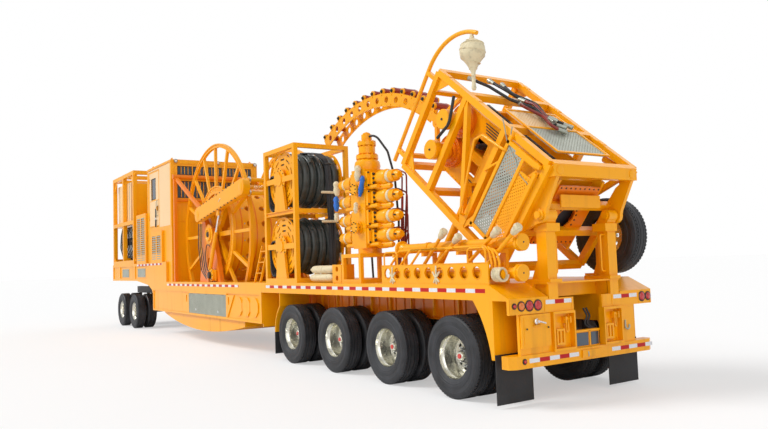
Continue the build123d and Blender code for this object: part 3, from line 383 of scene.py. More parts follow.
def arc(centre, radius, start, end, steps):
    """Points (x, z) on an arc, in degrees."""
    return [(centre[0] + radius * cos(radians(start + (end - start) * n / steps)),
             centre[1] + radius * sin(radians(start + (end - start) * n / steps))) for n in range(steps + 1)]


def circle(centre, radius, sides=20):
    return arc(centre, radius, 0, 360, sides)[:-1]


class Shape:
    """A mesh put together from closed solids, each in one of several finishes."""

    def __init__(self, name):
        self.name, self.bm, self.finishes, self.now = name, bmesh.new(), [], 0

    def paint(self, name):
        if name not in self.finishes:
            self.finishes.append(name)
        self.now = self.finishes.index(name)
        return self

    def faces(self, points, faces):
        made = [self.bm.verts.new(p) for p in points]
        for corners in faces:
            self.bm.faces.new([made[n] for n in corners]).material_index = self.now
        return self

    def brick(self, place, size, soft=0.003):
        """A box with chamfered edges, centred on a frame."""
        h = [s / 2 for s in size]
        c = min(soft, min(h) * 0.5)
        corners = [(x, y, z) for x in (-1, 1) for y in (-1, 1) for z in (-1, 1)]
        points = [place @ Vector([s * (h[i] if i == a else h[i] - c) for i, s in enumerate(corner)])
                  for corner in corners for a in range(3)]
        at = {(corner, a): 3 * n + a for n, corner in enumerate(corners) for a in range(3)}
        faces = [[at[corner, a] for a in range(3)] for corner in corners]
        for a in range(3):
            b, d = [i for i in range(3) if i != a]
            for s in (-1, 1):
                ring = [tuple(s if i == a else (p if i == b else q) for i in range(3))
                        for p, q in ((-1, -1), (1, -1), (1, 1), (-1, 1))]
                faces.append([at[corner, a] for corner in ring])
                for t in (-1, 1):
                    low = tuple(-1 if i == a else (s if i == b else t) for i in range(3))
                    high = tuple(1 if i == a else v for i, v in enumerate(low))
                    faces.append([at[low, b], at[high, b], at[high, d], at[low, d]])
        return self.faces(points, faces)

    def box(self, x, y, z, soft=0.003):
        """A box between pairs of limits, each pair in either order."""
        middle = [(v[0] + v[1]) / 2 for v in (x, y, z)]
        return self.brick(Matrix.Translation(middle), [abs(v[1] - v[0]) for v in (x, y, z)], soft)

    def bar(self, a, b, width, depth=None, soft=0.003):
        """A flat or square bar, its width along Y where it can be."""
        return self.brick(aim(a, b), (width, depth or width, (Vector(b) - Vector(a)).length), soft)

    def turned(self, profile, origin, axis=(0, 1, 0), sides=32, ring=False):
        """A solid of revolution from (along, radius) pairs; ring joins the last to the first."""
        place = facing(origin, axis)
        rings = []
        for along, radius in profile:
            turns = [0] if radius < 1e-6 else [TURN * n / sides for n in range(sides)]
            rings.append([self.bm.verts.new(place @ Vector((radius * cos(t), radius * sin(t), along)))
                          for t in turns])
        for p, q in zip(rings, rings[1:] + rings[:1]):
            if q is rings[0] and not ring:
                break
            for n in range(sides):
                corners = []
                for vertex in (p[n % len(p)], p[(n + 1) % sides % len(p)],
                               q[(n + 1) % sides % len(q)], q[n % len(q)]):
                    if vertex not in corners:
                        corners.append(vertex)
                if len(corners) > 2:
                    self.bm.faces.new(corners).material_index = self.now
        if not ring:
            for cap in (rings[0], rings[-1]):
                if len(cap) > 2:
                    self.bm.faces.new(cap).material_index = self.now
        return self

    def rod(self, a, b, radius, sides=16, soft=0.003):
        """A round bar from a to b with its ends eased."""
        long = (Vector(b) - Vector(a)).length
        c = min(soft, radius * 0.4, long * 0.2)
        return self.turned([(0, radius - c), (c, radius), (long - c, radius), (long, radius - c)],
                           a, Vector(b) - Vector(a), sides)

    def plate(self, outline, depth, place, holes=()):
        """A flat plate with holes: outlines are (x, y) on the frame's plane, depth is (from, to)."""
        loops = [list(loop) for loop in (outline, *holes)]
        flat = [Vector((x, y, 0)) for loop in loops for x, y in loop]
        triangles = tessellate_polygon([[Vector((x, y, 0)) for x, y in loop] for loop in loops])
        count = len(flat)
        points = [place @ Vector((p.x, p.y, z)) for z in depth for p in flat]
        faces = [list(t) for t in triangles] + [[n + count for n in reversed(t)] for t in triangles]
        start = 0
        for loop in loops:
            for n in range(len(loop)):
                a, b = start + n, start + (n + 1) % len(loop)
                faces.append([a, b, b + count, a + count])
            start += len(loop)
        return self.faces(points, faces)

    def side(self, outline, y, holes=()):
        """A plate in the XZ plane between two values of y."""
        return self.plate(outline, (-y[0], -y[1]), SIDE_VIEW, holes)

    def merge(self, mesh, place=None):
        """Adds a plain mesh in the present finish."""
        known = len(self.bm.faces)
        if place:
            mesh.transform(place)
        self.bm.from_mesh(mesh)
        self.bm.faces.ensure_lookup_table()
        for n in range(known, len(self.bm.faces)):
            self.bm.faces[n].material_index = self.now
        bpy.data.meshes.remove(mesh)
        return self

    def pipes(self, name, paths, radius, bend=0.0, sides=10, closed=False):
        return self.merge(pipes(name, paths, radius, bend, sides, closed))

    def bolts(self, name, count, radius, head, tall, origin, axis=(0, 1, 0), sides=6):
        """A ring of bolt heads about an axis, centred on origin."""
        return self.merge(around(name, count, radius, head, tall, sides), facing(origin, axis))

    def mesh(self, crease=35):
        """The finished mesh, faces outwards, smooth below the crease angle."""
        bmesh.ops.recalc_face_normals(self.bm, faces=self.bm.faces[:])
        made = bpy.data.meshes.new(self.name)
        self.bm.to_mesh(made)
        self.bm.free()
        for name in self.finishes:
            made.materials.append(bpy.data.materials[name])
        made.polygons.foreach_set("use_smooth", [True] * len(made.polygons))
        made.set_sharp_from_angle(angle=radians(crease))
        return made

    def done(self, body, *nodes, slot="paint"):
        """Makes the piece, rides it on its body and lets it stand for CAD nodes."""
        return piece(self.name, self.mesh(), body, *nodes, slot=slot)


SIDE_VIEW = Matrix(((1, 0, 0, 0), (0, 0, -1, 0), (0, 1, 0, 0), (0, 0, 0, 1)))


def piece(name, mesh, body, *nodes, slot="paint"):
    made = bpy.data.objects.new(name, mesh)
    bpy.context.scene.collection.objects.link(made)
    if nodes:
        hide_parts(*nodes)
    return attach(made, body)


# Geometry Nodes

SOCKET_KINDS = {int: "NodeSocketInt", float: "NodeSocketFloat", tuple: "NodeSocketVector"}


def grow(name, build, base=None, **inputs):
    """Runs a Geometry Nodes tree with named inputs and returns its result as a plain mesh."""
    tree = bpy.data.node_groups.new(name, "GeometryNodeTree")
    graph = Graph(tree)
    for way in ("INPUT", "OUTPUT"):
        tree.interface.new_socket("Geometry", in_out=way, socket_type="NodeSocketGeometry")
    for label, value in inputs.items():
        tree.interface.new_socket(label, in_out="INPUT", socket_type=SOCKET_KINDS[type(value)])
    entry = tree.nodes.new("NodeGroupInput")
    sockets = {socket.name: Sock(graph, socket) for socket in entry.outputs if socket.name}
    result = graph.add("GeometryNodeRealizeInstances", {}, {0: build(graph, sockets)})
    painted = graph.add("GeometryNodeSetMaterial", {},
                        {0: result, "Material": bpy.data.materials["unit_enamel"]})
    graph.add("NodeGroupOutput", {}, {0: painted})
    base = base or bpy.data.meshes.new(name)
    holder = bpy.data.objects.new(name, base)
    bpy.context.scene.collection.objects.link(holder)
    modifier = holder.modifiers.new(name, "NODES")
    modifier.node_group = tree
    for item in tree.interface.items_tree:
        if item.in_out == "INPUT" and item.name in inputs:
            modifier[item.identifier] = inputs[item.name]
    seen = holder.evaluated_get(bpy.context.evaluated_depsgraph_get())
    made = bpy.data.meshes.new_from_object(seen)
    bpy.data.objects.remove(holder)
    bpy.data.meshes.remove(base)
    bpy.data.node_groups.remove(tree)
    return made


def peg(graph, sockets, sides):
    return graph.add("GeometryNodeMeshCylinder", {}, {
        "Vertices": sides, "Radius": sockets["Part_radius"], "Depth": sockets["Part_length"]})


def around(name, count, radius, part_radius, part_length, sides=6):
    """Pegs such as bolt heads on a circle, standing along its axis."""
    def build(graph, sockets):
        ring = graph.add("GeometryNodeMeshCircle", {}, {"Vertices": sockets["Count"],
                                                        "Radius": sockets["Radius"]})
        return graph.add("GeometryNodeInstanceOnPoints", {}, {
            "Points": ring, "Instance": peg(graph, sockets, sides)})
    return grow(name, build, Count=count, Radius=radius, Part_radius=part_radius, Part_length=part_length)


def blocks_around(name, count, radius, size):
    """Small boxes on a circle, each turned to face outwards; size is (outwards, round, along)."""
    def build(graph, sockets):
        ring = graph.add("GeometryNodeMeshCircle", {}, {"Vertices": sockets["Count"],
                                                        "Radius": sockets["Radius"]})
        step = graph.add("GeometryNodeInputIndex")
        angle = step * TURN / sockets["Count"]
        turn = graph.add("ShaderNodeCombineXYZ", {}, {"Z": angle})
        block = graph.add("GeometryNodeMeshCube", {}, {"Size": sockets["Size"]})
        return graph.add("GeometryNodeInstanceOnPoints", {}, {
            "Points": ring, "Instance": block, "Rotation": turn})
    return grow(name, build, Count=count, Radius=radius, Size=size)


def lattice(name, columns, rows, width, height, size, swing=0.0):
    """Small boxes on a flat grid, every other one swung the other way about the grid's normal."""
    def build(graph, sockets):
        grid = graph.add("GeometryNodeMeshGrid", {}, {
            "Size X": sockets["Width"], "Size Y": sockets["Height"],
            "Vertices X": sockets["Columns"], "Vertices Y": sockets["Rows"]})
        step = graph.add("GeometryNodeInputIndex")
        row = step % sockets["Rows"]
        column = graph.add("ShaderNodeMath", {"operation": "FLOOR"}, {0: step / sockets["Rows"]})
        parity = (row + column) % 2.0
        turn = graph.add("ShaderNodeCombineXYZ", {}, {"Z": (parity * 2.0 - 1.0) * sockets["Swing"]})
        block = graph.add("GeometryNodeMeshCube", {}, {"Size": sockets["Size"]})
        return graph.add("GeometryNodeInstanceOnPoints", {}, {
            "Points": grid, "Instance": block, "Rotation": turn})
    return grow(name, build, Columns=columns, Rows=rows, Width=width, Height=height, Size=size, Swing=swing)


def pipes(name, paths, radius, bend=0.0, sides=10, closed=False):
    """Round tube along each path of points, its corners filleted to one bend radius."""
    base = bpy.data.meshes.new(name)
    points, edges = [], []
    for path in paths:
        first = len(points)
        points.extend(tuple(p) for p in path)
        edges.extend((n, n + 1) for n in range(first, len(points) - 1))
        if closed:
            edges.append((len(points) - 1, first))
    base.from_pydata(points, edges, [])

    def build(graph, sockets):
        line = graph.add("GeometryNodeMeshToCurve", {}, {0: sockets["Geometry"]})
        soft = graph.add("GeometryNodeFilletCurve", {"mode": "POLY"}, {
            "Curve": line, "Count": sockets["Steps"], "Radius": sockets["Bend"], "Limit Radius": True})
        section = graph.add("GeometryNodeCurvePrimitiveCircle", {}, {
            "Resolution": sockets["Sides"], "Radius": sockets["Radius"]})
        return graph.add("GeometryNodeCurveToMesh", {}, {
            "Curve": soft, "Profile Curve": section, "Fill Caps": True})
    return grow(name, build, base, Steps=5 if bend else 1, Bend=max(bend, 1e-4), Sides=sides, Radius=radius)


def beads(name, path, spacing, size):
    """Small boxes strung along a path and turned with it, as links and studs are."""
    base = bpy.data.meshes.new(name)
    base.from_pydata([tuple(p) for p in path], [(n, n + 1) for n in range(len(path) - 1)], [])

    def build(graph, sockets):
        line = graph.add("GeometryNodeMeshToCurve", {}, {0: sockets["Geometry"]})
        even = graph.add("GeometryNodeCurveToPoints", {"mode": "LENGTH"}, {
            "Curve": line, "Length": sockets["Spacing"]})
        block = graph.add("GeometryNodeMeshCube", {}, {"Size": sockets["Size"]})
        return graph.add("GeometryNodeInstanceOnPoints", {}, {
            "Points": even, "Instance": block,
            "Rotation": Sock(graph, even.socket.node.outputs["Rotation"])})
    return grow(name, build, base, Spacing=spacing, Size=size)


# Settings

class TubingUnitSettings(bpy.types.PropertyGroup):
    enamel_colour: bpy.props.FloatVectorProperty(
        name="Enamel", description="Colour of the unit's gloss enamel", subtype="COLOR", size=3,
        min=0, max=1, default=linear(*FINISHES["unit_enamel"][0]))
    dolly_colour: bpy.props.FloatVectorProperty(
        name="Dolly", description="Colour of the dolly's frame", subtype="COLOR", size=3,
        min=0, max=1, default=linear(*FINISHES["frame_black"][0]))
    hand_holes: bpy.props.IntProperty(
        name="Hand holes", description="Hand holes in each wheel disc", default=10, min=2, max=16)
    wheel_nuts: bpy.props.IntProperty(
        name="Wheel nuts", description="Nuts on each hub", default=10, min=4, max=12)
    groove_depth: bpy.props.FloatProperty(
        name="Groove depth", description="Depth of the tyres' circumferential grooves",
        default=0.014, min=0.002, max=0.03, unit="LENGTH")
    tape_height: bpy.props.FloatProperty(
        name="Tape height", description="Height of the reflective tape", default=0.05, unit="LENGTH")


def settings():
    return bpy.context.scene.tubing_unit


class TUBINGUNIT_OT_finishes(bpy.types.Operator):
    """Makes every finish and gives each solid its own"""
    bl_idname = "tubing_unit.finishes"
    bl_label = "Finishes"

    def execute(self, context):
        chosen = {"unit_enamel": settings().enamel_colour, "frame_black": settings().dolly_colour}
        for name, (colour, build, rough, metal, fixed) in FINISHES.items():
            finish(name, chosen.get(name, linear(*colour)), build, rough, metal, **fixed)
        by_node = {node: name for name, nodes in NODE_FINISHES.items() for node in nodes}
        for node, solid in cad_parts.items():
            for held in solid.material_slots:
                held.material = bpy.data.materials[by_node.get(node, "unit_enamel")]
        return {"FINISHED"}


# Wheels

def half_tyre(r, groove):
    """Half a tyre's outside from its bead to its centre line: (from its side face, radius)."""
    return [
        (0.036, 0.276), (0.030, 0.288), (0.024, 0.300), (0.014, 0.316), (0.013, 0.322), (0.006, 0.330),
        (0.004, 0.352), (0.001, 0.356), (0.0005, 0.392), (0.004, 0.396), (0.002, 0.402), (0.004, 0.440),
        (0.001, 0.446), (0.003, 0.462), (0.010, 0.484), (0.013, 0.486), (0.014, 0.496), (0.024, r - 0.016),
        (0.034, r - 0.009), (0.060, r - 0.009), (0.061, r - groove), (0.069, r - groove),
        (0.070, r - 0.001), (0.100, r), (0.101, r - groove), (0.109, r - groove), (0.110, r),
    ]


def add_tyre(shape, side_face, groove):
    """One tyre whose inner side face stands at side_face along Y."""
    width, half = TYRE_WIDTH, half_tyre(TYRE_R, groove)
    outline = half + [(width - s, r) for s, r in reversed(half)]
    lining = [(width - 0.04, 0.284), (width - 0.02, 0.34), (width - 0.02, 0.45), (0.02, 0.45),
              (0.02, 0.34), (0.04, 0.284)]
    shape.paint("tyre_rubber").turned([(side_face + s, r) for s, r in outline + lining], (0, 0, 0),
                                      sides=72, ring=True)
    for place in (0.047, width - 0.047):
        ring = blocks_around("shoulder_blocks", 64, TYRE_R - 0.009, (0.017, 0.034, 0.026))
        shape.merge(ring, facing((0, side_face + place, 0), (0, 1, 0)))
    for place in (0.085, width - 0.085):
        ring = blocks_around("rib_sipes", 96, TYRE_R - 0.0055, (0.0094, 0.022, 0.032))
        shape.merge(ring, facing((0, side_face + place, 0), (0, 1, 0)))


def add_rim(shape, disc, lip, holes, nuts):
    """A dished rim: its disc at disc, its outer lip at lip along Y, open towards +Y."""
    shape.paint("rim_aluminium").turned([
        (lip, 0.302), (lip + 0.006, 0.298), (lip + 0.004, 0.291), (lip - 0.014, 0.284), (lip - 0.050, 0.279),
        (lip - 0.072, 0.262), (lip - 0.140, 0.254), (disc + 0.060, 0.252), (disc + 0.030, 0.246),
        (disc + 0.016, 0.236), (disc + 0.010, 0.210), (disc - 0.012, 0.210), (disc - 0.012, 0.262),
        (lip - 0.140, 0.264), (lip - 0.078, 0.270), (lip - 0.052, 0.288), (lip - 0.012, 0.294)],
        (0, 0, 0), sides=64, ring=True)
    hand_holes = [circle(centre, 0.029, 14) for centre in circle((0, 0), HAND_HOLE_RING, holes)]
    shape.plate(circle((0, 0), 0.215, 64), (-0.011, 0.011), facing((0, disc, 0), (0, 1, 0)),
                [circle((0, 0), 0.09, 32)] + hand_holes)
    shape.turned([(disc + 0.011, 0.166), (disc + 0.018, 0.160), (disc + 0.020, 0.128), (disc + 0.010, 0.12),
                  (disc + 0.010, 0.166)], (0, 0, 0), sides=48, ring=True)
    shape.paint("chrome").bolts("wheel_nuts", nuts, WHEEL_NUT_RING, 0.0165, 0.034, (0, disc + 0.034, 0))
    shape.bolts("nut_collars", nuts, WHEEL_NUT_RING, 0.022, 0.008, (0, disc + 0.023, 0), sides=12)


class TUBINGUNIT_OT_wheels(bpy.types.Operator):
    """Builds the twin wheels: tyres, dished rims, hubs and drums"""
    bl_idname = "tubing_unit.wheels"
    bl_label = "Twin wheels"

    def execute(self, context):
        options = settings()
        inner = HALF - 2 * TYRE_WIDTH - TWIN_GAP
        middle = (HALF + inner) / 2
        shape = Shape("twin_wheel")
        for side_face in (inner, inner + TYRE_WIDTH + TWIN_GAP):
            add_tyre(shape, side_face, options.groove_depth)
        add_rim(shape, middle, HALF - 0.034, options.hand_holes, options.wheel_nuts)
        shape.paint("hub_steel").turned([
            (inner + 0.034, 0.300), (inner + 0.030, 0.292), (inner + 0.060, 0.276), (inner + 0.100, 0.262),
            (middle - 0.02, 0.260), (middle - 0.02, 0.270), (inner + 0.11, 0.272), (inner + 0.064, 0.286)],
            (0, 0, 0), sides=48, ring=True)
        shape.turned([(inner + 0.03, 0.205), (inner + 0.03, 0.216), (inner + 0.06, 0.216),
                      (middle - 0.05, 0.212), (middle - 0.04, 0.19), (middle - 0.02, 0.12),
                      (middle - 0.05, 0.1), (middle - 0.07, 0.18), (inner + 0.07, 0.2)],
                     (0, 0, 0), sides=48, ring=True)
        shape.turned([(middle - 0.08, 0.046), (middle - 0.08, 0.104), (middle + 0.034, 0.104),
                      (middle + 0.040, 0.096), (middle + 0.044, 0.086), (middle + 0.104, 0.080),
                      (middle + 0.110, 0.070), (middle + 0.112, 0.0)], (0, 0, 0), sides=40)
        shape.bolts("hub_bolts", 8, 0.068, 0.009, 0.012, (0, middle + 0.114, 0))
        shape.paint("rim_aluminium").turned([
            (middle + 0.11, 0.058), (middle + 0.150, 0.056), (middle + 0.158, 0.050), (middle + 0.158, 0.0)],
            (0, 0, 0), sides=36)
        shape.paint("cap_red").turned([(middle + 0.156, 0.034), (middle + 0.166, 0.031),
                                       (middle + 0.167, 0.0)], (0, 0, 0), sides=28)
        twin = shape.mesh(30)
        for node, x in WHEEL_STATIONS.items():
            copy = twin.copy()
            turn = Matrix.Rotation(pi, 4, "Z") if node.endswith("left") else Matrix.Identity(4)
            copy.transform(Matrix.Translation((x, 0, TYRE_R)) @ turn)
            piece(node + "_dressed", copy, node, node, slot="tyre")
        bpy.data.meshes.remove(twin)

        low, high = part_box("spare_wheel")
        middle_x, middle_z = (low.x + high.x) / 2, (low.z + high.z) / 2
        shape = Shape("spare_wheel_dressed")
        add_tyre(shape, 0, options.groove_depth)
        add_rim(shape, 0.07, TYRE_WIDTH - 0.034, options.hand_holes, options.wheel_nuts)
        spare = shape.mesh(30)
        spare.transform(Matrix.Translation((middle_x, low.y, middle_z)))
        piece("spare_wheel_dressed", spare, "trailer", "spare_wheel", slot="tyre")
        return {"FINISHED"}


# Markings and lamps

def add_tape(shape, span, face, z, colours=("tape_white", "tape_red"), lengths=(0.18, 0.19), along_x=True):
    """Reflective tape in two colours in turn: span is (from, to), face the tape's two sides."""
    half = settings().tape_height / 2
    at, turn = span[0], 0
    while at < span[1] - 0.02:
        end = min(at + lengths[turn % 2], span[1])
        run = (at, end - 0.002)
        x, y = (run, face) if along_x else (face, run)
        shape.paint(colours[turn % 2]).box(x, y, (z - half, z + half), 0.0002)
        at, turn = end, turn + 1


def reflective_tape():
    """Tape along the frame's sides, the light bar and the bumper."""
    shape = Shape("reflective_tape")
    for side in (-1, 1):
        face = sorted((side * (HALF - 0.001), side * (HALF + 0.0008)))
        for span, z in (((-6.65, -4.03), 1.928), ((-3.59, 1.44), 1.365), ((2.82, 9.1), 1.365)):
            add_tape(shape, span, face, z)
    face = (TAIL - 0.001, TAIL + 0.0008)
    for span in ((-0.70, -0.24), (0.53, 1.0)):
        add_tape(shape, span, face, 1.21, lengths=(0.157, 0.157), along_x=False)
    for span in ((-1.01, -0.17), (0.45, 1.27)):
        add_tape(shape, span, face, 0.552, lengths=(0.168, 0.168), along_x=False)
    shape.done("trailer")


def tail_lamps():
    """The lamps of the light bar and the bumper."""
    shape = Shape("tail_lamps")
    # y, z, radius, lens
    for y, z, r, glass in (
        (-1.215, 1.19, 0.024, "lens_red"), (-1.105, 1.185, 0.048, "lens_amber"),
        (-0.975, 1.185, 0.055, "lens_red"), (-0.835, 1.185, 0.055, "lens_red"),
        (1.10, 1.185, 0.055, "lens_red"), (1.225, 1.185, 0.048, "lens_red"),
        (-1.09, 0.552, 0.022, "lens_red"),
    ):
        place = ((TAIL - 0.002, y, z), (1, 0, 0))
        shape.paint("flap_rubber").turned([(0, r + 0.012), (0.010, r + 0.012), (0.014, r + 0.007),
                                           (0.014, r + 0.001), (0.004, r)], *place, ring=True)
        shape.paint(glass).turned([(0.002, r), (0.012, r - 0.001), (0.020, r * 0.84), (0.025, r * 0.5),
                                   (0.0265, 0)], *place)
    shape.done("trailer", "lamps", slot="lens")


class TUBINGUNIT_OT_markings(bpy.types.Operator):
    """Lays the reflective tape and builds the rear lamps"""
    bl_idname = "tubing_unit.markings"
    bl_label = "Tape and lamps"

    def execute(self, context):
        reflective_tape()
        tail_lamps()
        return {"FINISHED"}


# Frame

def add_heads(shape, points, axis, radius=0.012, tall=0.008, sides=6):
    """Bolt heads on washers at points, standing along axis."""
    for point in points:
        shape.turned([(0, radius * 1.5), (0.002, radius * 1.5), (0.002, radius), (tall - 0.001, radius),
                      (tall, radius * 0.85)], point, axis, sides)


def tread_plate_doors():
    """Locker doors of tread plate with border strips, hinges and latches."""
    low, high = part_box("side_lockers")
    shape = Shape("tread_plate_doors")
    for side in (-1, 1):
        outer, inner = side * (HALF - 0.006), side * (HALF - 0.24)
        x, z = (low.x + 0.004, high.x - 0.004), (low.z + 0.004, high.z - 0.004)
        shape.paint("zinc").box(x, (outer, inner), z, 0.004)
        face = facing(((x[0] + x[1]) / 2, outer, (z[0] + z[1]) / 2), (0, side, 0))
        shape.merge(lattice("tread_plate", 58, 11, x[1] - x[0] - 0.09, z[1] - z[0] - 0.09,
                            (0.034, 0.010, 0.004), radians(45)), face)
        # border strips, hinge barrels and latches
        rim = sorted((outer, side * (HALF - 0.001)))
        for edge in (z[0], z[1] - 0.022):
            shape.box(x, rim, (edge, edge + 0.022), 0.002)
        for edge in (x[0], x[1] - 0.022):
            shape.box((edge, edge + 0.022), rim, z, 0.002)
        shape.paint("oiled_steel")
        for n in range(5):
            start = x[0] + 0.12 + n * (x[1] - x[0] - 0.42) / 4
            shape.rod((start, side * (HALF - 0.008), z[1] - 0.008),
                      (start + 0.18, side * (HALF - 0.008), z[1] - 0.008), 0.008, 10)
        for place in (x[0] + 0.5, x[1] - 0.5):
            shape.paint("chrome").turned([(0, 0.03), (0.003, 0.03), (0.004, 0.02), (0.005, 0)],
                                         (place, outer, z[0] + 0.09), (0, side, 0), 24)
    shape.done("trailer", "side_lockers", slot="tread_plate")


def frame_fittings():
    """Bolts along the frame's sides and plates under the cabin and power pack."""
    shape = Shape("frame_fittings")
    # the frame's bolts take the darker enamel, painted shade
    shape.paint("deep_enamel")
    for side in (-1, 1):
        face = side * HALF
        # bolts at the frame's joints
        add_heads(shape, [(-4.7 + n * 0.23, face - side * 0.004, z) for n in range(12)
                          for z in (1.225, 0.665)], (0, side, 0), 0.008, 0.0045)
    z = 1.7
    for x in (-8.1, -6.2):
        shape.paint("zinc").box((x - 0.42, x + 0.42), (-HALF + 0.012, -HALF + 0.03), (z - 0.13, z + 0.13),
                                0.006)
        shape.paint("oiled_steel")
        add_heads(shape, [(x + dx, -HALF + 0.012, z + dz) for dx in (-0.35, 0.35) for dz in (-0.09, 0.09)],
                  (0, -1, 0), 0.008, 0.006)
    shape.done("trailer")


def rear_fittings():
    """Ribs, bolts, gauge box, hoses, hook and coupling loop at the rear."""
    shape = Shape("rear_fittings")
    shape.paint("unit_enamel")
    # ribs of the light bar and bolts of the boxes under it
    for y in (-1.28, -0.72, -0.25, 0.32, 0.50, 1.03, 1.28):
        shape.box((TAIL, TAIL + 0.006), (y - 0.006, y + 0.006), (1.10, 1.24), 0.002)
    add_heads(shape, [(TAIL - 0.045, y, z) for y in (-0.555, -0.285, 0.355, 0.605) for z in (0.68, 1.03)],
              (1, 0, 0), 0.012, 0.01)
    # glazed gauge box
    shape.box((TAIL - 0.10, TAIL - 0.05), (-0.2, 0.28), (0.60, 0.83), 0.006)
    shape.box((TAIL - 0.052, TAIL - 0.036), (0.08, 0.105), (0.61, 0.82), 0.003)
    for edge in ((0.60, 0.625), (0.805, 0.83)):
        shape.box((TAIL - 0.052, TAIL - 0.036), (-0.2, 0.28), edge, 0.003)
    shape.paint("cabin_glass")
    for pane in ((-0.17, 0.07), (0.12, 0.26)):
        shape.box((TAIL - 0.052, TAIL - 0.044), pane, (0.635, 0.795), 0.002)
    # hoses in the recess above it, a hook and the coupling's loop
    shape.paint("flap_rubber")
    lines = [[(TAIL - 0.20, y, 1.08), (TAIL - 0.16, y + 0.02, 0.98), (TAIL - 0.18, y - 0.03, 0.88),
              (TAIL - 0.10, y + 0.03, 0.82)] for y in (-0.16, -0.11, -0.06, 0.18, 0.23)]
    shape.pipes("recess_hoses", lines, 0.013, 0.05, 8)
    shape.paint("zinc").pipes("hook", [[(TAIL + 0.012, 0.72, 0.90), (TAIL + 0.012, 0.72, 0.80),
                                              (TAIL + 0.012, 0.80, 0.76), (TAIL + 0.012, 0.80, 0.84)]],
                                    0.011, 0.035)
    shape.pipes("pintle", [[(TAIL + 0.005, -0.02, 0.51), (TAIL + 0.024, -0.02, 0.51),
                                  (TAIL + 0.024, -0.02, 0.57), (TAIL + 0.005, -0.02, 0.57)]], 0.009, 0.02)
    shape.done("trailer", slot="steel")


def toolbox_latch():
    """The handle and bolts of the rear toolbox door."""
    shape = Shape("toolbox_latch")
    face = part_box("toolbox_door")[1].x
    shape.paint("chrome").turned([(-0.02, 0.0), (-0.02, 0.034), (0.006, 0.034), (0.010, 0.028), (0.03, 0.016),
                                  (0.04, 0.016), (0.04, 0.0)], (face, -0.90, 1.0), (1, 0, 0), 24)
    shape.bar((face + 0.036, -0.93, 1.012), (face + 0.036, -0.79, 0.975), 0.030, 0.018, 0.006)
    shape.paint("oiled_steel")
    add_heads(shape, [(face - 0.012, y, 0.92) for y in (-1.05, -0.70)], (1, 0, 0), 0.008, 0.014)
    shape.done("toolbox_door", slot="steel")


class TUBINGUNIT_OT_frame(bpy.types.Operator):
    """Dresses the frame: tread-plate locker doors, bolts and rear fittings"""
    bl_idname = "tubing_unit.frame"
    bl_label = "Frame sides and rear"

    def execute(self, context):
        for build in (tread_plate_doors, frame_fittings, rear_fittings, toolbox_latch):
            build()
        return {"FINISHED"}


# Cabin

def cabin_seals():
    """Rubber round the ten panes of the cabin's rear wall."""
    back = CABIN_BACK
    shape = Shape("cabin_seals")
    shape.paint("flap_rubber")
    for z in ((4.33, 4.54), (3.70, 4.13)):
        for y in (-0.86, -0.43, 0.0, 0.43, 0.86):
            ys = (y - 0.185, y + 0.185)
            for edge in ((ys[0] - 0.016, ys[0]), (ys[1], ys[1] + 0.016)):
                shape.box((back - 0.01, back + 0.005), edge, (z[0] - 0.016, z[1] + 0.016), 0.003)
            for edge in ((z[0] - 0.016, z[0]), (z[1], z[1] + 0.016)):
                shape.box((back - 0.01, back + 0.005), ys, edge, 0.003)
    shape.done("trailer", slot="rubber")


def cabin_trim():
    """Gutters, corner posts, lifting eyes, ribs and roof vent."""
    low, back, left, right = CABIN_LOW, CABIN_BACK, CABIN_LOW.y, CABIN_HIGH.y
    shape = Shape("cabin_trim")
    shape.paint("unit_enamel")
    # roof gutter, corner posts, ribs of the rear wall and lifting eyes
    for y in (left, right):
        side = -1 if y < 0 else 1
        shape.box((low.x, back), (y, y + side * 0.022), (4.66, 4.69), 0.003)
        for ends, proud in (((back - 0.09, back + 0.012), 0.012),
                            ((low.x - 0.004, low.x + 0.09), 0.006)):
            shape.box(ends, (y + side * proud, y - side * 0.09), (2.92, 4.72), 0.006)
        for x in (low.x + 0.25, back - 0.25):
            shape.pipes("lifting_eye", [[(x + dx, y - side * 0.1, z) for dx, z in (
                (-0.05, 4.73), (-0.05, 4.80), (0.05, 4.80), (0.05, 4.73))]], 0.012, 0.035)
    for y in (-0.645, -0.215, 0.215, 0.645):
        shape.box((back, back + 0.010), (y - 0.012, y + 0.012), (3.02, 4.66), 0.003)
    for z in (3.05, 3.62, 4.23, 4.62):
        shape.box((back, back + 0.014), (left + 0.09, right - 0.09), (z - 0.014, z + 0.014), 0.003)
    for n in range(14):
        y = left + 0.14 + n * (right - left - 0.28) / 13
        add_heads(shape, [(back + 0.012, y, 3.05), (back + 0.012, y, 4.62)], (1, 0, 0), 0.007, 0.005)
    # roof vent and cooler
    shape.paint("white_paint").box((-5.0, -4.1), (-0.42, 0.42), (4.73, 4.86), 0.03)
    shape.paint("frame_black")
    for z in (4.752 + n * 0.011 for n in range(9)):
        shape.box((-4.101, -4.094), (-0.36, 0.36), (z, z + 0.005), 0.001)
    shape.done("trailer")


def cabin_lamp_faces():
    """The roof's work lamps."""
    back = CABIN_BACK
    shape = Shape("cabin_lamp_faces")
    for y in (-1.118, 0.058, 1.163):
        shape.paint("hub_steel").turned([(0, 0.046), (0.05, 0.048), (0.056, 0.046), (0.056, 0.04),
                                         (0.05, 0.036)], (back + 0.03, y, 4.690), (1, 0, -0.3), 24, ring=True)
        shape.paint("white_paint").turned([(0.0, 0.04), (0.052, 0.038), (0.058, 0.02), (0.06, 0)],
                                          (back + 0.03, y, 4.690), (1, 0, -0.3), 24)
    shape.done("trailer", slot="lens")


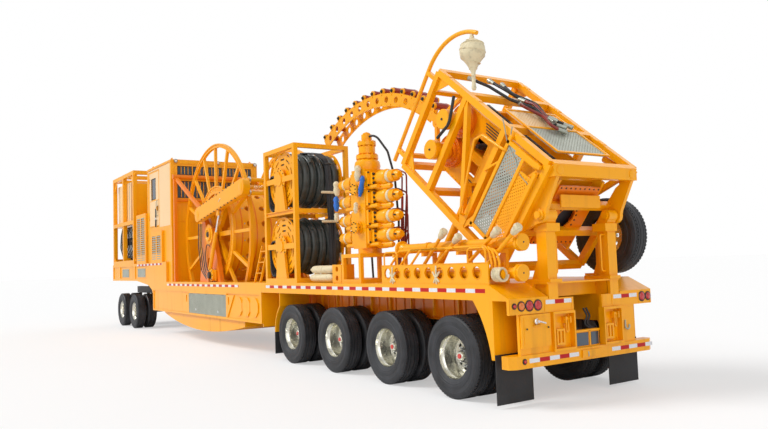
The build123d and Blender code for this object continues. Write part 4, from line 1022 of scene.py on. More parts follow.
def cabin_door_trim():
    """The door's panel, seal, glass and handle, which ride on the door."""
    left = CABIN_LOW.y
    x, z, face = (-5.42, -4.45), (2.99, 4.60), left
    shape = Shape("cabin_door_trim")
    shape.paint("bleached_enamel").box((x[0] + 0.04, x[1] - 0.04), (face - 0.004, face), (z[0] + 0.04, 3.74),
                                       0.003)
    for across, tall in (((-5.38, -5.216), (3.76, 4.56)), ((-4.764, -4.49), (3.76, 4.56)),
                         ((-5.216, -4.764), (4.396, 4.56))):
        shape.box(across, (face - 0.004, face), tall, 0.003)
    shape.paint("flap_rubber")
    for edge in ((-5.216, -5.2), (-4.78, -4.764)):
        shape.box(edge, (face - 0.006, face + 0.01), (3.784, 4.396), 0.003)
    for edge in ((3.784, 3.8), (4.38, 4.396)):
        shape.box((-5.2, -4.78), (face - 0.006, face + 0.01), edge, 0.003)
    shape.paint("cabin_glass").box((-5.2, -4.78), (face + 0.012, face + 0.018), (3.8, 4.38), 0.001)
    shape.paint("zinc").pipes("door_pull", [[(-4.58, face, 3.30), (-4.58, face - 0.05, 3.30),
                                             (-4.58, face - 0.05, 3.72), (-4.58, face, 3.72)]], 0.010, 0.03)
    shape.paint("oiled_steel").box((-4.62, -4.54), (face - 0.018, face), (3.44, 3.58), 0.004)
    shape.done("cabin_door")


def cabin_side_trim():
    """Pale panel, stay and clasp on the cabin's left side."""
    left = CABIN_LOW.y
    shape = Shape("cabin_side_trim")
    shape.paint("bleached_enamel")
    shape.box((-4.43, -3.43), (left - 0.003, left), (2.96, 4.65), 0.002)
    shape.box((-5.53, -4.43), (left - 0.003, left), (4.61, 4.65), 0.001)
    shape.paint("frame_black").bar((-4.70, left - 0.03, 3.50), (-4.72, left - 0.03, 2.98), 0.03, 0.03, 0.004)
    shape.paint("chrome").box((-4.75, -4.66), (left - 0.05, left), (3.19, 3.25), 0.004)
    shape.done("trailer")


class TUBINGUNIT_OT_cabin(bpy.types.Operator):
    """Adds window seals, gutters, a stay, the roof's lamps and the door's trim to the cabin"""
    bl_idname = "tubing_unit.cabin"
    bl_label = "Cabin fittings"

    def execute(self, context):
        for build in (cabin_seals, cabin_trim, cabin_lamp_faces, cabin_door_trim, cabin_side_trim):
            build()
        return {"FINISHED"}


# Reel and levelwind

def reel_rims():
    """Raised lips, bolts and teeth on the reel's flanges."""
    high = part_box("reel_flanges")[1]
    centre, core = REEL_CENTRE, DRUM_R
    out = high.x - centre[0]
    shape = Shape("reel_rims")
    shape.paint("unit_enamel")
    for side in (-1, 1):
        face = side * high.y
        # raised lips on each flange, with a ring of bolts and one of teeth
        for r, deep in ((out - 0.012, 0.02), (out - 0.085, 0.014), (core + 0.05, 0.014),
                        (core - 0.11, 0.014)):
            shape.turned([(0, r - 0.012), (deep, r - 0.012), (deep, r + 0.012), (0, r + 0.012)],
                         (centre[0], face, centre[1]), (0, side, 0), 96, ring=True)
        shape.bolts("drum_bolts", 48, core - 0.03, 0.012, 0.014, (centre[0], face + side * 0.007, centre[1]))
        shape.merge(blocks_around("drum_teeth", 64, core + 0.032, (0.03, 0.05, 0.02)),
                    facing((centre[0], face + side * 0.006, centre[1]), (0, 1, 0)))
    # raised ring round the drum on each flange's inner face, in the darker enamel that paints the shade
    # between the flanges
    shape.paint("deep_enamel")
    for side in (-1, 1):
        inner = side * (high.y - 0.062)
        shape.turned([(0, core + 0.005), (0.012, core + 0.005), (0.012, core + 0.055), (0, core + 0.055)],
                     (centre[0], inner, centre[1]), (0, -side, 0), 96, ring=True)
    shape.done("reel")


def reel_drum_rings():
    """Rings round the drum and bolt heads between its holes."""
    centre, core = REEL_CENTRE, DRUM_R
    shape = Shape("reel_drum_rings")
    # the drum's rings take the darker enamel, painted shade between the flanges
    shape.paint("deep_enamel")
    for y in (-0.72, -0.36, 0.0, 0.36, 0.72):
        shape.turned([(-0.02, core - 0.006), (-0.014, core + 0.006), (0.014, core + 0.006),
                      (0.02, core - 0.006)], (centre[0], y, centre[1]), sides=96, ring=True)
    shape.paint("zinc")
    for n in range(18):
        a = TURN * (n + 0.5) / 18
        direction = Vector((cos(a), 0, sin(a)))
        point = Vector((centre[0], 0, centre[1])) + direction * (core + 0.001)
        for y in (-0.72, -0.18, 0.18, 0.72):
            add_heads(shape, [(point.x, y + 0.06, point.z)], tuple(direction), 0.011, 0.006)
    shape.done("reel")


def reel_swivel():
    """Bearing covers on the reel's stand."""
    centre = REEL_CENTRE
    shape = Shape("reel_swivel")
    shape.paint("unit_enamel")
    for side in (-1, 1):
        end = side * 1.11
        shape.turned([(0, 0.24), (0.018, 0.24), (0.022, 0.19), (0.022, 0.16), (0.05, 0.155), (0.055, 0.12),
                      (0.024, 0.095), (0, 0.095)], (centre[0], end, centre[1]), (0, side, 0), 40, ring=True)
        shape.bolts("bearing_bolts", 10, 0.215, 0.014, 0.03, (centre[0], end + side * 0.012, centre[1]))
    shape.done("trailer")


def reel_axle_ends():
    """Stepped ends of the reel's axle."""
    centre = REEL_CENTRE
    shape = Shape("reel_axle_ends")
    shape.paint("oiled_steel")
    for side in (-1, 1):
        shape.turned([(0, 0.07), (0.012, 0.07), (0.014, 0.06), (0.03, 0.055), (0.034, 0.04), (0.034, 0)],
                     (centre[0], side * 1.139, centre[1]), (0, side, 0), 32)
    shape.done("reel", slot="steel")


def reel_drive():
    """Chain case low on the left pedestal, with its hydraulic lines."""
    shape = Shape("reel_drive")
    shape.paint("unit_enamel")
    shape.box((-0.62, -0.30), (-1.16, -1.111), (1.46, 1.72), 0.012)
    shape.turned([(0, 0.15), (0.05, 0.15), (0.06, 0.13), (0.06, 0)], (-0.46, -1.16, 1.6), (0, -1, 0), 36)
    shape.paint("oiled_steel").turned([(0, 0.075), (0.05, 0.075), (0.055, 0.06), (0.055, 0)],
                                      (-0.46, -1.218, 1.6), (0, -1, 0), 28)
    shape.bolts("case_bolts", 8, 0.135, 0.010, 0.014, (-0.46, -1.222, 1.6))
    shape.paint("hose_rubber")
    for n in range(3):
        y = -1.155 - n * 0.028
        shape.pipes("drive_hoses", [[(-0.50 + n * 0.06, y, 1.52), (-0.72, y, 1.50),
                                     (-0.98 - n * 0.05, y, 1.72), (-1.2 - n * 0.03, y, 2.3),
                                     (-1.16 - n * 0.03, y, 2.84)]], 0.012, 0.14)
    shape.done("trailer", slot="rubber")


def levelwind_trim():
    """Face plates, pivots and clips of the levelwind's arms."""
    shape = Shape("levelwind_trim")
    start, end = Vector((-1.15, 0, 3.05)), Vector((1.6, 0, 3.44))
    along = (end - start).normalized()
    normal = Vector((-along.z, 0, along.x))
    for side in (-1, 1):
        face = side * 1.275
        shape.paint("unit_enamel")
        outline = [middle + along * x + normal * z for middle, first in ((start, 90), (end, -90))
                   for x, z in arc((0, 0), 0.15, first, first + 180, 12)]
        shape.side([(p.x, p.z) for p in outline], sorted((face, face + side * 0.006)))
        for point, r in ((start, 0.09), (end, 0.07)):
            shape.turned([(0, r + 0.03), (0.012, r + 0.03), (0.014, r), (0.02, r * 0.7), (0.02, 0)],
                         (point.x, face, point.z), (0, side, 0), 32)
        shape.paint("oiled_steel")
        for n in range(11):
            p = start + along * (0.28 + n * 0.215)
            for way in (-1, 1):
                q = p + normal * (0.165 * way)
                shape.box((q.x - 0.02, q.x + 0.02), (face - side * 0.02, face + side * 0.006),
                          (q.z - 0.012, q.z + 0.012), 0.002)
        p = start + along * 1.55
        shape.paint("chrome").pipes("clasp", [[
            (p.x - 0.05, face, p.z - 0.03), (p.x - 0.05, face + side * 0.012, p.z - 0.03),
            (p.x + 0.05, face + side * 0.012, p.z + 0.03), (p.x + 0.05, face, p.z + 0.03)]], 0.006, 0.01)
    shape.done("levelwind")


def levelwind_screw():
    """Thread of the crossed screw and collars of its guide bars."""
    shape = Shape("levelwind_screw")
    shape.paint("chrome")
    turns, steps = 56, 12
    points = [(1.61 + 0.0385 * cos(TURN * n / steps), -1.1 + 2.2 * n / (turns * steps),
               3.44 + 0.0385 * sin(TURN * n / steps)) for n in range(turns * steps + 1)]
    shape.pipes("thread", [points], 0.0045, sides=5)
    for z in (3.59, 3.31):
        for side in (-1, 1):
            shape.turned([(0, 0.07), (0.03, 0.07), (0.036, 0.05), (0.036, 0.046), (0, 0.046)],
                         (1.6, side * 1.09, z), (0, -side, 0), 28, ring=True)
    shape.done("levelwind", slot="steel")


def levelwind_guide():
    """Rollers and bolts of the levelwind's carriage."""
    shape = Shape("levelwind_guide")
    shape.paint("oiled_steel")
    for x in (1.53, 1.67):
        shape.turned([(-0.075, 0.056), (-0.06, 0.06), (-0.03, 0.05), (0, 0.046), (0.03, 0.05), (0.06, 0.06),
                      (0.075, 0.056)], (x, 0, 3.79), (0, 1, 0), 28)
    shape.paint("zinc")
    for side in (-1, 1):
        add_heads(shape, [(x, side * 0.17, z) for x in (1.52, 1.68) for z in (3.27, 3.62)],
                  (0, side, 0), 0.014, 0.01)
    shape.done("levelwind_carriage", slot="steel")


def lift_hoses():
    """Hoses of the lift cylinders."""
    shape = Shape("lift_hoses")
    shape.paint("hose_rubber")
    for side in (-1, 1):
        y = side * 1.2
        shape.pipes("lift_lines", [
            [(-0.62, y - side * 0.03, 1.70), (-0.80, y - side * 0.03, 1.72), (-0.98, y - side * 0.05, 2.05),
             (-0.86, y - side * 0.05, 2.34), (-0.60, y - side * 0.03, 2.28)]], 0.011, 0.12)
    shape.done("trailer", slot="rubber")


class TUBINGUNIT_OT_reel(bpy.types.Operator):
    """Adds rims, bolts, a swivel and a drive to the tubing reel, and trim to its levelwind"""
    bl_idname = "tubing_unit.reel"
    bl_label = "Tubing reel"

    def execute(self, context):
        for build in (reel_rims, reel_drum_rings, reel_swivel, reel_axle_ends, reel_drive, levelwind_trim,
                      levelwind_screw, levelwind_guide, lift_hoses):
            build()
        return {"FINISHED"}


# Hose reels

def hose_reel(level, z):
    """One hose reel, its axle z above the ground: wraps, spool trim and drive."""
    node = level + "_hose"
    low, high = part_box(node)
    pitch = (high.y - low.y) / 6
    outer = (high.z - low.z) / 2
    profile = [(high.y, 0.2), (low.y, 0.2)]
    for n in range(6):
        middle = low.y + (n + 0.5) * pitch
        for step in range(9):
            a = pi - pi * step / 8
            profile.append((middle + pitch * 0.492 * cos(a), outer - 0.062 + 0.062 * sin(a) ** 0.7))
    shape = Shape(node + "_wraps")
    shape.paint("hose_rubber").turned(profile, (HOSE_REEL_X, 0, z), sides=96, ring=True)
    # a loose outer wrap that crosses the others
    wraps = []
    for n in range(97):
        a = TURN * n / 96 + 0.6
        wraps.append((HOSE_REEL_X + (outer + 0.004) * cos(a), low.y + pitch * (2.3 + 1.3 * n / 96),
                      z + (outer + 0.004) * sin(a)))
    shape.pipes("crossing_wrap", [wraps], 0.026, sides=10)
    shape.done(level + "_hose_reel", node, slot="rubber")

    shape = Shape(level + "_spool_trim")
    shape.paint("unit_enamel")
    for face, side in ((-1.2, -1), (-0.24, 1)):
        shape.turned([(0, 0.527), (0.014, 0.53), (0.014, 0.545), (0, 0.545)],
                     (HOSE_REEL_X, face, z), (0, side, 0), 72, ring=True)
        shape.turned([(0, 0.10), (0.012, 0.10), (0.014, 0.14), (0.004, 0.15), (0, 0.15)],
                     (HOSE_REEL_X, face, z), (0, side, 0), 40, ring=True)
        shape.bolts("spool_bolts", 12, 0.19, 0.011, 0.02, (HOSE_REEL_X, face + side * 0.006, z))
    shape.done(level + "_hose_reel")

    shape = Shape(level + "_reel_drive")
    shape.paint("unit_enamel")
    shape.turned([(0, 0.16), (0.02, 0.165), (0.022, 0.21), (0.035, 0.21), (0.035, 0.0)],
                 (HOSE_REEL_X, -1.229, z), (0, -1, 0), 40)
    shape.box((HOSE_REEL_X - 0.20, HOSE_REEL_X + 0.02), (-1.287, -1.255), (z - 0.09, z + 0.15), 0.012)
    shape.paint("oiled_steel").bolts("gear_bolts", 10, 0.185, 0.010, 0.012, (HOSE_REEL_X, -1.268, z))
    shape.paint("flap_rubber")
    # the swivel's black supply hose hangs in a loop at the front
    for n in range(4):
        y = -1.235 + n * 0.032
        shape.pipes("supply_loop", [[
            (HOSE_REEL_X - 0.14, y, z + 0.05), (HOSE_REEL_X - 0.45 - n * 0.015, y, z + 0.14),
            (HOSE_REEL_X - 0.545, y, z - 0.05), (HOSE_REEL_X - 0.50 + n * 0.012, y, z - 0.52),
            (HOSE_REEL_X - 0.36, y, z - 0.56)]], 0.017, 0.16, 8)
    shape.done("trailer", slot="rubber")


def hanging_hoses():
    """Thin hoses that leave the upper reel, are tied, and hang down the frame's back."""
    shape = Shape("hanging_hoses")
    shape.paint("flap_rubber")
    paths = []
    for n in range(11):
        across, deep = (n % 4) * 0.032, (n // 4) * 0.03
        y, x = -0.64 + across, 4.165 + deep
        wave = 0.02 * sin(n * 1.7)
        paths.append([(3.56 + 0.02 * n, -0.86 + across * 2, 3.865 - deep * 0.3),
                      (3.98, -0.76 + across * 1.5, 3.80), (x, -0.66 + across * 0.6, 3.62), (x + wave, y, 3.0),
                      (x - wave, y + 0.03, 2.4), (x + wave, y + 0.02, 1.95), (x - 0.04, y + 0.05, 1.475)])
    shape.pipes("bundle", paths, 0.016, 0.22, 8)
    shape.paint("oiled_steel").pipes("tie", [[
        (4.145, -0.685, 3.59), (4.255, -0.685, 3.59), (4.255, -0.565, 3.59), (4.145, -0.565, 3.59)]],
        0.012, 0.04, closed=True)
    shape.paint("beige_wrap")
    for z in (3.06, 2.53):
        shape.turned([(0, 0.012), (0.01, 0.024), (0.30, 0.024), (0.32, 0.034), (0.36, 0.030), (0.37, 0.012)],
                     (4.27, -0.82, z), (0, 1, 0), 14)
    shape.paint("zinc").turned([(0, 0.02), (0.16, 0.022), (0.17, 0.014), (0.18, 0.0)], (4.24, -0.44, 1.95),
                               (0.1, 0.1, -1), 14)
    shape.done("trailer", slot="rubber")


def deck_fittings():
    """Wrapped cylinders, holed box, folded cover and ladder beside the reels."""
    shape = Shape("deck_fittings")
    shape.paint("beige_wrap")
    for z, x in ((1.525, 4.46), (1.665, 4.50)):
        shape.turned([(0, 0.0), (0.004, 0.045), (0.03, 0.06), (0.10, 0.068), (0.64, 0.066), (0.70, 0.055),
                      (0.74, 0.03), (0.76, 0.0)], (x, -1.14, z), (1, 0, 0), 24)
        shape.turned([(0, 0.028), (0.06, 0.028), (0.065, 0.02)], (x - 0.06, -1.14, z), (1, 0, 0), 14)
    shape.paint("unit_enamel")
    outline = [(5.27, 1.442), (5.56, 1.442), (5.56, 1.74), (5.27, 1.74)]
    shape.side(outline, (-1.20, -1.185), [circle((5.415, 1.665), 0.045), circle((5.415, 1.52), 0.045)])
    for x in (5.27, 5.545):
        shape.box((x, x + 0.015), (-1.185, -0.95), (1.442, 1.74), 0.003)
    shape.box((-0.19, 0.85), (-1.22, -1.16), (1.262, 1.39), 0.004)
    shape.paint("frame_black")
    for n in range(8):
        shape.box((-0.12 + n * 0.12, -0.06 + n * 0.12), (-1.224, -1.218), (1.31, 1.345), 0.001)
    # black folded cover strapped beside the ladder
    shape.paint("flap_rubber").turned([(0, 0.03), (0.05, 0.045), (0.3, 0.05), (0.34, 0.032), (0.40, 0.052),
                                       (1.0, 0.055), (1.08, 0.03), (1.1, 0.0)], (0.9, -1.14, 1.33), (1, 0, 0),
                                      20)
    shape.paint("chrome").turned([(0, 0.02), (0.02, 0.036), (0.07, 0.036), (0.08, 0.02)], (0.86, -1.14, 1.33),
                                 (1, 0, 0), 18)
    # ladder from the drop deck up to the reels
    shape.paint("unit_enamel")
    foot, head = Vector((2.12, -1.262, 1.265)), Vector((2.45, -1.18, 2.16))
    across = Vector((0.28, 0, 0))
    for start in (Vector((0, 0, 0)), across):
        shape.bar(foot + start, head + start, 0.045, 0.025, 0.004)
    for n in range(4):
        rung = foot.lerp(head, (n + 0.7) / 4.2)
        shape.bar(rung, rung + across, 0.05, 0.02, 0.003)
    shape.done("trailer")


class TUBINGUNIT_OT_hose_reels(bpy.types.Operator):
    """Winds the hoses on their reels and hangs the bundle, drives and couplings"""
    bl_idname = "tubing_unit.hose_reels"
    bl_label = "Hose reels"

    def execute(self, context):
        for level, z in HOSE_REEL_HEIGHTS.items():
            hose_reel(level, z)
        hanging_hoses()
        deck_fittings()
        return {"FINISHED"}


# Preventer stack

def stack_fittings():
    """Bolts, ram cylinders, flanges and outlets of the preventer stack."""
    x, y = STACK_X, STACK_Y
    shape = Shape("stack_fittings")
    for z, side in ((z, side) for z in RAMS for side in (-1, 1)):
        face = x + side * 0.33
        shape.paint("oiled_steel")
        add_heads(shape, [(face, y + dy, z + dz) for dy in (-0.105, 0.105) for dz in (-0.07, 0.0, 0.07)],
                  (side, 0, 0), 0.016, 0.03)
        add_heads(shape, [(x + side * 0.255, y + dy, z + dz) for dy in (-0.155, 0.155)
                          for dz in (-0.1, 0.1)], (side, 0, 0), 0.012, 0.018)
        # the operating cylinder's barrel, collar and gland
        shape.paint("unit_enamel").turned([
            (0.40, 0.062), (0.40, 0.118), (0.42, 0.122), (0.58, 0.122), (0.605, 0.112), (0.62, 0.092),
            (0.62, 0.062)], (x, y, z), (side, 0, 0), 36)
        shape.turned([(0.80, 0.05), (0.80, 0.07), (0.86, 0.066), (0.90, 0.05), (0.90, 0.0)],
                     (x, y, z), (side, 0, 0), 28)
        shape.paint("beige_wrap").turned([(0.622, 0.094), (0.628, 0.101), (0.655, 0.1), (0.67, 0.102),
                                          (0.684, 0.094)], (x, y, z), (side, 0, 0), 28, ring=True)
        shape.paint("frame_black").turned([(-0.102, 0.013), (0.102, 0.013)], (x + side * 0.845, y, z),
                                          (0, 1, 0), 12)
    # flanges at the top with their studs
    for z, r, count in ((3.27, 0.175, 12), (3.45, 0.158, 12), (3.67, 0.13, 10)):
        shape.paint("unit_enamel").bolts("studs", count, r, 0.014, 0.10, (x, y, z), (0, 0, 1))
    shape.turned([(0, 0.06), (0.02, 0.062), (0.03, 0.05), (0.05, 0.0)], (x, y, 3.82), (0, 0, 1), 28)
    shape.turned([(0, 0.20), (0.05, 0.212), (0.12, 0.20), (0.17, 0.15)], (x, y, 3.25), (0, 0, 1), 40)
    shape.turned([(0, 0.112), (0.02, 0.135), (0.13, 0.135), (0.15, 0.112)], (x, y, 3.49), (0, 0, 1), 36)
    # smaller cylinders between the rams
    for z in RAMS:
        shape.turned([(0.32, 0.055), (0.52, 0.055), (0.54, 0.048), (0.66, 0.048), (0.70, 0.034), (0.70, 0.0)],
                     (x, y - 0.02, z - 0.148), (1, 0, 0), 24)
    # the body's milled faces and side outlets
    for z in (2.315, 2.615, 2.92):
        shape.box((x - 0.197, x + 0.197), (y - 0.197, y + 0.197), (z - 0.018, z + 0.018), 0.005)
    for z in (2.315, 2.92):
        shape.turned([(0, 0.10), (0.02, 0.10), (0.02, 0.07), (0.06, 0.07), (0.06, 0.095), (0.09, 0.095),
                      (0.09, 0.0)], (x, y - 0.196, z), (0, -1, 0), 28)
        shape.paint("oiled_steel").bolts("outlet_studs", 8, 0.08, 0.009, 0.07, (x, y - 0.27, z))
        shape.paint("unit_enamel")
    shape.done("trailer")


def stack_wraps():
    """Fittings wound in pale and blue sheet."""
    x, y = STACK_X, STACK_Y
    shape = Shape("stack_wraps")
    # place, direction, length, radius, finish
    for place, way, long, r, name in (
        ((x - 0.86, y - 0.10, 3.16), (0.1, 0, -1), 0.26, 0.055, "beige_wrap"),
        ((x - 0.84, y - 0.12, 2.90), (0.05, 0, -1), 0.26, 0.05, "blue_wrap"),
        ((x - 0.84, y - 0.12, 2.62), (0.1, 0, -1), 0.16, 0.045, "beige_wrap"),
        ((x + 0.10, y - 0.245, 3.30), (-0.1, 0, -1), 0.26, 0.055, "beige_wrap"),
        ((x + 0.22, y - 0.23, 3.12), (-0.35, 0, -1), 0.34, 0.042, "blue_wrap"),
        ((x + 0.02, y - 0.25, 2.72), (-0.1, 0, -1), 0.18, 0.04, "beige_wrap"),
    ):
        shape.paint(name).turned([
            (0, 0.0), (0.01, r * 0.6), (long * 0.2, r), (long * 0.42, r * 0.82), (long * 0.6, r * 1.05),
            (long * 0.85, r * 0.8), (long, r * 0.45), (long, 0.0)], place, way, 18)
    shape.done("trailer", slot="rubber")


def stack_hoses():
    """Hoses from the rams and the stack's top down to the deck."""
    x, y = STACK_X, STACK_Y
    shape = Shape("stack_hoses")
    shape.paint("red_hose")
    lines = []
    for n, z in enumerate(RAMS):
        for k, dy in enumerate((0.12, 0.18)):
            deep = y + dy
            lines.append([(x + 0.52, y + dy * 0.5, z + 0.09), (x + 0.56, deep, z + 0.13),
                          (x + 0.72 + k * 0.03, deep + 0.05, z + k * 0.04),
                          (x + 0.70 + k * 0.04, deep + 0.05, z - 0.25),
                          (x + 0.64, deep + 0.04, 1.85 + n * 0.03), (x + 0.50, deep + 0.08, 1.56)])
    shape.pipes("ram_hoses", lines, 0.013, 0.08, 8)
    shape.paint("flap_rubber")
    shape.pipes("top_hoses", [
        [(x + 0.07, y, 3.78), (x + 0.20, y + 0.04, 3.80), (x + 0.30, y + 0.20, 3.52),
         (x + 0.36, y + 0.28, 3.10), (x + 0.40, y + 0.30, 2.4), (x + 0.36, y + 0.30, 1.56)],
        [(x - 0.15, y + 0.14, 3.36), (x - 0.36, y + 0.22, 3.30), (x - 0.44, y + 0.28, 2.6),
         (x - 0.40, y + 0.30, 1.5)]], 0.018, 0.14, 10)
    shape.done("trailer", slot="rubber")


class TUBINGUNIT_OT_stack(bpy.types.Operator):
    """Adds bolts, bands, eyes, wraps and hoses to the preventer stack"""
    bl_idname = "tubing_unit.stack"
    bl_label = "Preventer stack"

    def execute(self, context):
        stack_fittings()
        stack_wraps()
        stack_hoses()
        return {"FINISHED"}


# Pipe rack

def rack_fittings():
    """Rails, loops, struts, clamps and pipe ends of the side rack."""
    shape = Shape("rack_fittings")
    shape.paint("unit_enamel")
    rails = [[(x, -1.225, 1.68), (x + 0.26, -1.225, 1.90), (end, -1.225, 1.90)]
             for x, end in ((7.0, 8.15), (7.25, 8.3), (7.5, 8.45))]
    shape.pipes("sloping_rails", rails, 0.017, 0.08, 10)
    loops = [[(x - 0.5, y, 0.695 - y), (x + 0.22, y, 0.695 - y), (x + 0.30, y, 1.62), (x + 0.10, y, 1.50)]
             for x, y in ((8.86, -1.21), (8.91, -1.19), (8.96, -1.17))]
    shape.pipes("u_loops", loops, 0.015, 0.13, 10)
    # struts and their wrapped tips: foot, tip
    struts = (((7.70, 1.70), (8.13, 2.10)), ((7.98, 1.70), (8.42, 2.02)), ((8.62, 1.70), (9.15, 2.06)),
              ((8.95, 1.66), (9.50, 2.08)))
    for foot, tip in struts:
        a, b = Vector((foot[0], -1.13, foot[1])), Vector((tip[0], -1.13, tip[1]))
        shape.paint("unit_enamel").rod(a, b, 0.024, 12)
        shape.paint("beige_wrap").turned([(-0.09, 0.0), (-0.085, 0.03), (-0.05, 0.045), (0, 0.05),
                                          (0.03, 0.058), (0.06, 0.046), (0.07, 0.0)], b, b - a, 16)
    shape.paint("unit_enamel")
    for z, y in ((1.568, -1.02), (1.928, -1.0)):
        for x in (6.93, 7.65, 8.40, 9.05):
            if x > 7 or z < 1.7:
                shape.turned([(-0.03, 0.066), (-0.03, 0.078), (0.03, 0.078), (0.03, 0.066)], (x, y, z),
                             (1, 0, 0), 28, ring=True)
        shape.turned([(0, 0.0), (0, 0.098), (0.006, 0.102), (0.03, 0.102), (0.034, 0.098), (0.034, 0.0)],
                     (9.441, y, z), (1, 0, 0), 40)
        shape.paint("frame_black").turned([(0, 0.011), (0.002, 0.011), (0.0025, 0.0)], (9.475, y, z),
                                          (1, 0, 0), 12)
        shape.paint("unit_enamel")
    shape.turned([(0, 0.07), (0, 0.12), (0.035, 0.12), (0.04, 0.085), (0.10, 0.08), (0.12, 0.07)],
                 (6.99, -1.0, 1.928), (1, 0, 0), 32, ring=True)
    shape.bolts("pipe_flange_bolts", 8, 0.10, 0.009, 0.02, (6.985, -1.0, 1.928), (1, 0, 0))
    # the plate's top and bottom edges and ring seats
    shape.box((6.85, 9.14), (-1.276, -1.24), (1.694, 1.706), 0.004)
    for n in range(9):
        shape.turned([(0, 0.074), (0, 0.086), (0.006, 0.084), (0.006, 0.076)],
                     (7.0 + n * 0.24125, -1.27, 1.585), (0, -1, 0), 28, ring=True)
    shape.done("trailer")


def rack_ties():
    """Knots and a coiled rope that hold the rack's pipes."""
    shape = Shape("rack_ties")
    shape.paint("beige_wrap")
    for x in (7.13, 8.14):
        shape.pipes("knot", [
            [(x - 0.07, -1.276, 1.60), (x, -1.281, 1.52), (x + 0.07, -1.276, 1.60)],
            [(x - 0.05, -1.277, 1.46), (x, -1.281, 1.53), (x + 0.06, -1.277, 1.47)],
            [(x, -1.272, 1.68), (x, -1.281, 1.52), (x + 0.01, -1.276, 1.44)]], 0.013, 0.02, 8)
    turns = [(9.19 + 0.028 * n / 14, -1.20 + 0.072 * cos(TURN * n / 14), 1.555 + 0.075 * sin(TURN * n / 14))
             for n in range(14 * 5 + 1)]
    shape.pipes("coiled_rope", [turns], 0.014, sides=8)
    shape.done("trailer", slot="rubber")


class TUBINGUNIT_OT_rack(bpy.types.Operator):
    """Adds handrails, wrapped struts, clamps and ties to the side rack"""
    bl_idname = "tubing_unit.rack"
    bl_label = "Side rack"

    def execute(self, context):
        rack_fittings()
        rack_ties()
        return {"FINISHED"}


# Injector

def inj(along, across, y):
    """A point of the injector frame, given along it and across it from its top front corner."""
    c, s = cos(INJECTOR_TILT), sin(INJECTOR_TILT)
    return Vector((INJECTOR_X + c * along - s * across, y, INJECTOR_Z - s * along - c * across))


def inj_frame(along, across, y, turned=False):
    """A frame there whose X runs along the injector frame and whose Z faces the left, or faces upwards."""
    x = inj(1, 0, 0) - inj(0, 0, 0)
    z = inj(0, -1, 0) - inj(0, 0, 0) if turned else Vector((0, -1, 0))
    made = Matrix((x, z.cross(x), z)).transposed().to_4x4()
    made.translation = inj(along, across, y)
    return made


def add_perforated(shape, place, width, height, columns, rows, hole):
    """A plate with staggered square holes, centred on a frame."""
    holes = []
    for column in range(columns):
        for row in range(rows):
            if (column + row) % 2 == 0:
                cx = (column + 0.5 - columns / 2) * (width - 0.04) / columns
                cy = (row + 0.5 - rows / 2) * (height - 0.04) / rows
                holes.append(circle((cx, cy), hole, 4))
    w, h = width / 2, height / 2
    shape.plate([(-w, -h), (w, -h), (w, h), (-w, h)], (-PERFORATED_SHEET / 2, PERFORATED_SHEET / 2), place,
                holes)
    for side in (-1, 1):
        shape.brick(place @ Matrix.Translation((side * (w - 0.006), 0, -0.014)), (0.012, height, 0.028),
                    0.002)
        shape.brick(place @ Matrix.Translation((0, side * (h - 0.006), -0.014)), (width, 0.012, 0.028), 0.002)


def injector_platforms():
    """Perforated platforms in their frames, with a handrail."""
    left = INJECTOR_LEFT
    shape = Shape("injector_platforms")
    shape.paint("zinc")
    add_perforated(shape, inj_frame(2.03, 0.70, left - 0.03), 0.30, 1.16, 10, 40, 0.012)
    shape.paint("unit_enamel")
    add_perforated(shape, inj_frame(2.32, 0.78, left - 0.03), 0.24, 1.0, 8, 36, 0.011)
    shape.paint("zinc")
    add_perforated(shape, inj_frame(1.97, -0.055, 0, turned=True), 0.62, 0.9, 24, 34, 0.010)
    shape.paint("bleached_enamel")
    add_perforated(shape, inj_frame(1.43, -0.055, 0, turned=True), 0.44, 0.9, 18, 34, 0.009)
    shape.paint("unit_enamel")
    for along in (1.19, 1.66, 2.30):
        shape.brick(inj_frame(along, -0.062, 0, turned=True), (0.03, 0.94, 0.02), 0.003)
    for y in (-0.465, 0.465):
        shape.brick(inj_frame(1.745, -0.062, y, turned=True), (1.14, 0.03, 0.02), 0.003)
    for along, middle, long in ((1.845, 0.68, 1.36), (2.19, 0.74, 1.2), (2.455, 0.76, 1.16)):
        shape.brick(inj_frame(along, middle, left - 0.025), (0.05, long, 0.045), 0.004)
    for along, across in ((2.15, 0.09), (2.15, 1.31)):
        shape.brick(inj_frame(along, across, left - 0.025), (0.66, 0.05, 0.045), 0.004)
    shape.bar(inj(1.65, 0.62, left - 0.02), inj(1.85, 0.35, left - 0.02), 0.03, 0.03, 0.004)
    out = left - 0.07
    shape.pipes("platform_rail", [[
        inj(1.62, 1.329, left), inj(1.62, 1.329, out), inj(1.304, 0.367, out), inj(1.407, 0.24, out),
        inj(1.871, 0.196, out), inj(1.871, 0.196, left - 0.02)]], 0.017, 0.05, 12)
    shape.done("injector", "platforms")


def injector_motors():
    """The four drive motors with their stepped, bolted housings."""
    shape = Shape("injector_motors")
    for v in (0.47, 0.955):
        for side in (-1, 1):
            centre, way = inj(0.53, v, side * 0.42), (0, side, 0)
            # the motors' ring housings take the darker enamel, painted shade
            shape.paint("deep_enamel").turned([
                (0, 0.20), (0, 0.232), (0.03, 0.235), (0.034, 0.222), (0.056, 0.222), (0.06, 0.235),
                (0.088, 0.235), (0.092, 0.19), (0.118, 0.186), (0.12, 0.15)], centre, way, 48)
            shape.bolts("ring_bolts", 24, 0.212, 0.0095, 0.022, inj(0.53, v, side * 0.515))
            shape.paint("unit_enamel").turned([
                (0.12, 0.0), (0.12, 0.115), (0.125, 0.12), (0.31, 0.12), (0.315, 0.128), (0.33, 0.142),
                (0.43, 0.142), (0.44, 0.132), (0.44, 0.0)], centre, way, 48)
            shape.bolts("cap_bolts", 12, 0.172, 0.008, 0.02, inj(0.53, v, side * 0.545))
            shape.paint("oiled_steel").turned([(0.44, 0.018), (0.452, 0.016), (0.452, 0.0)], centre, way, 6)
    shape.done("injector", "drive_motors")


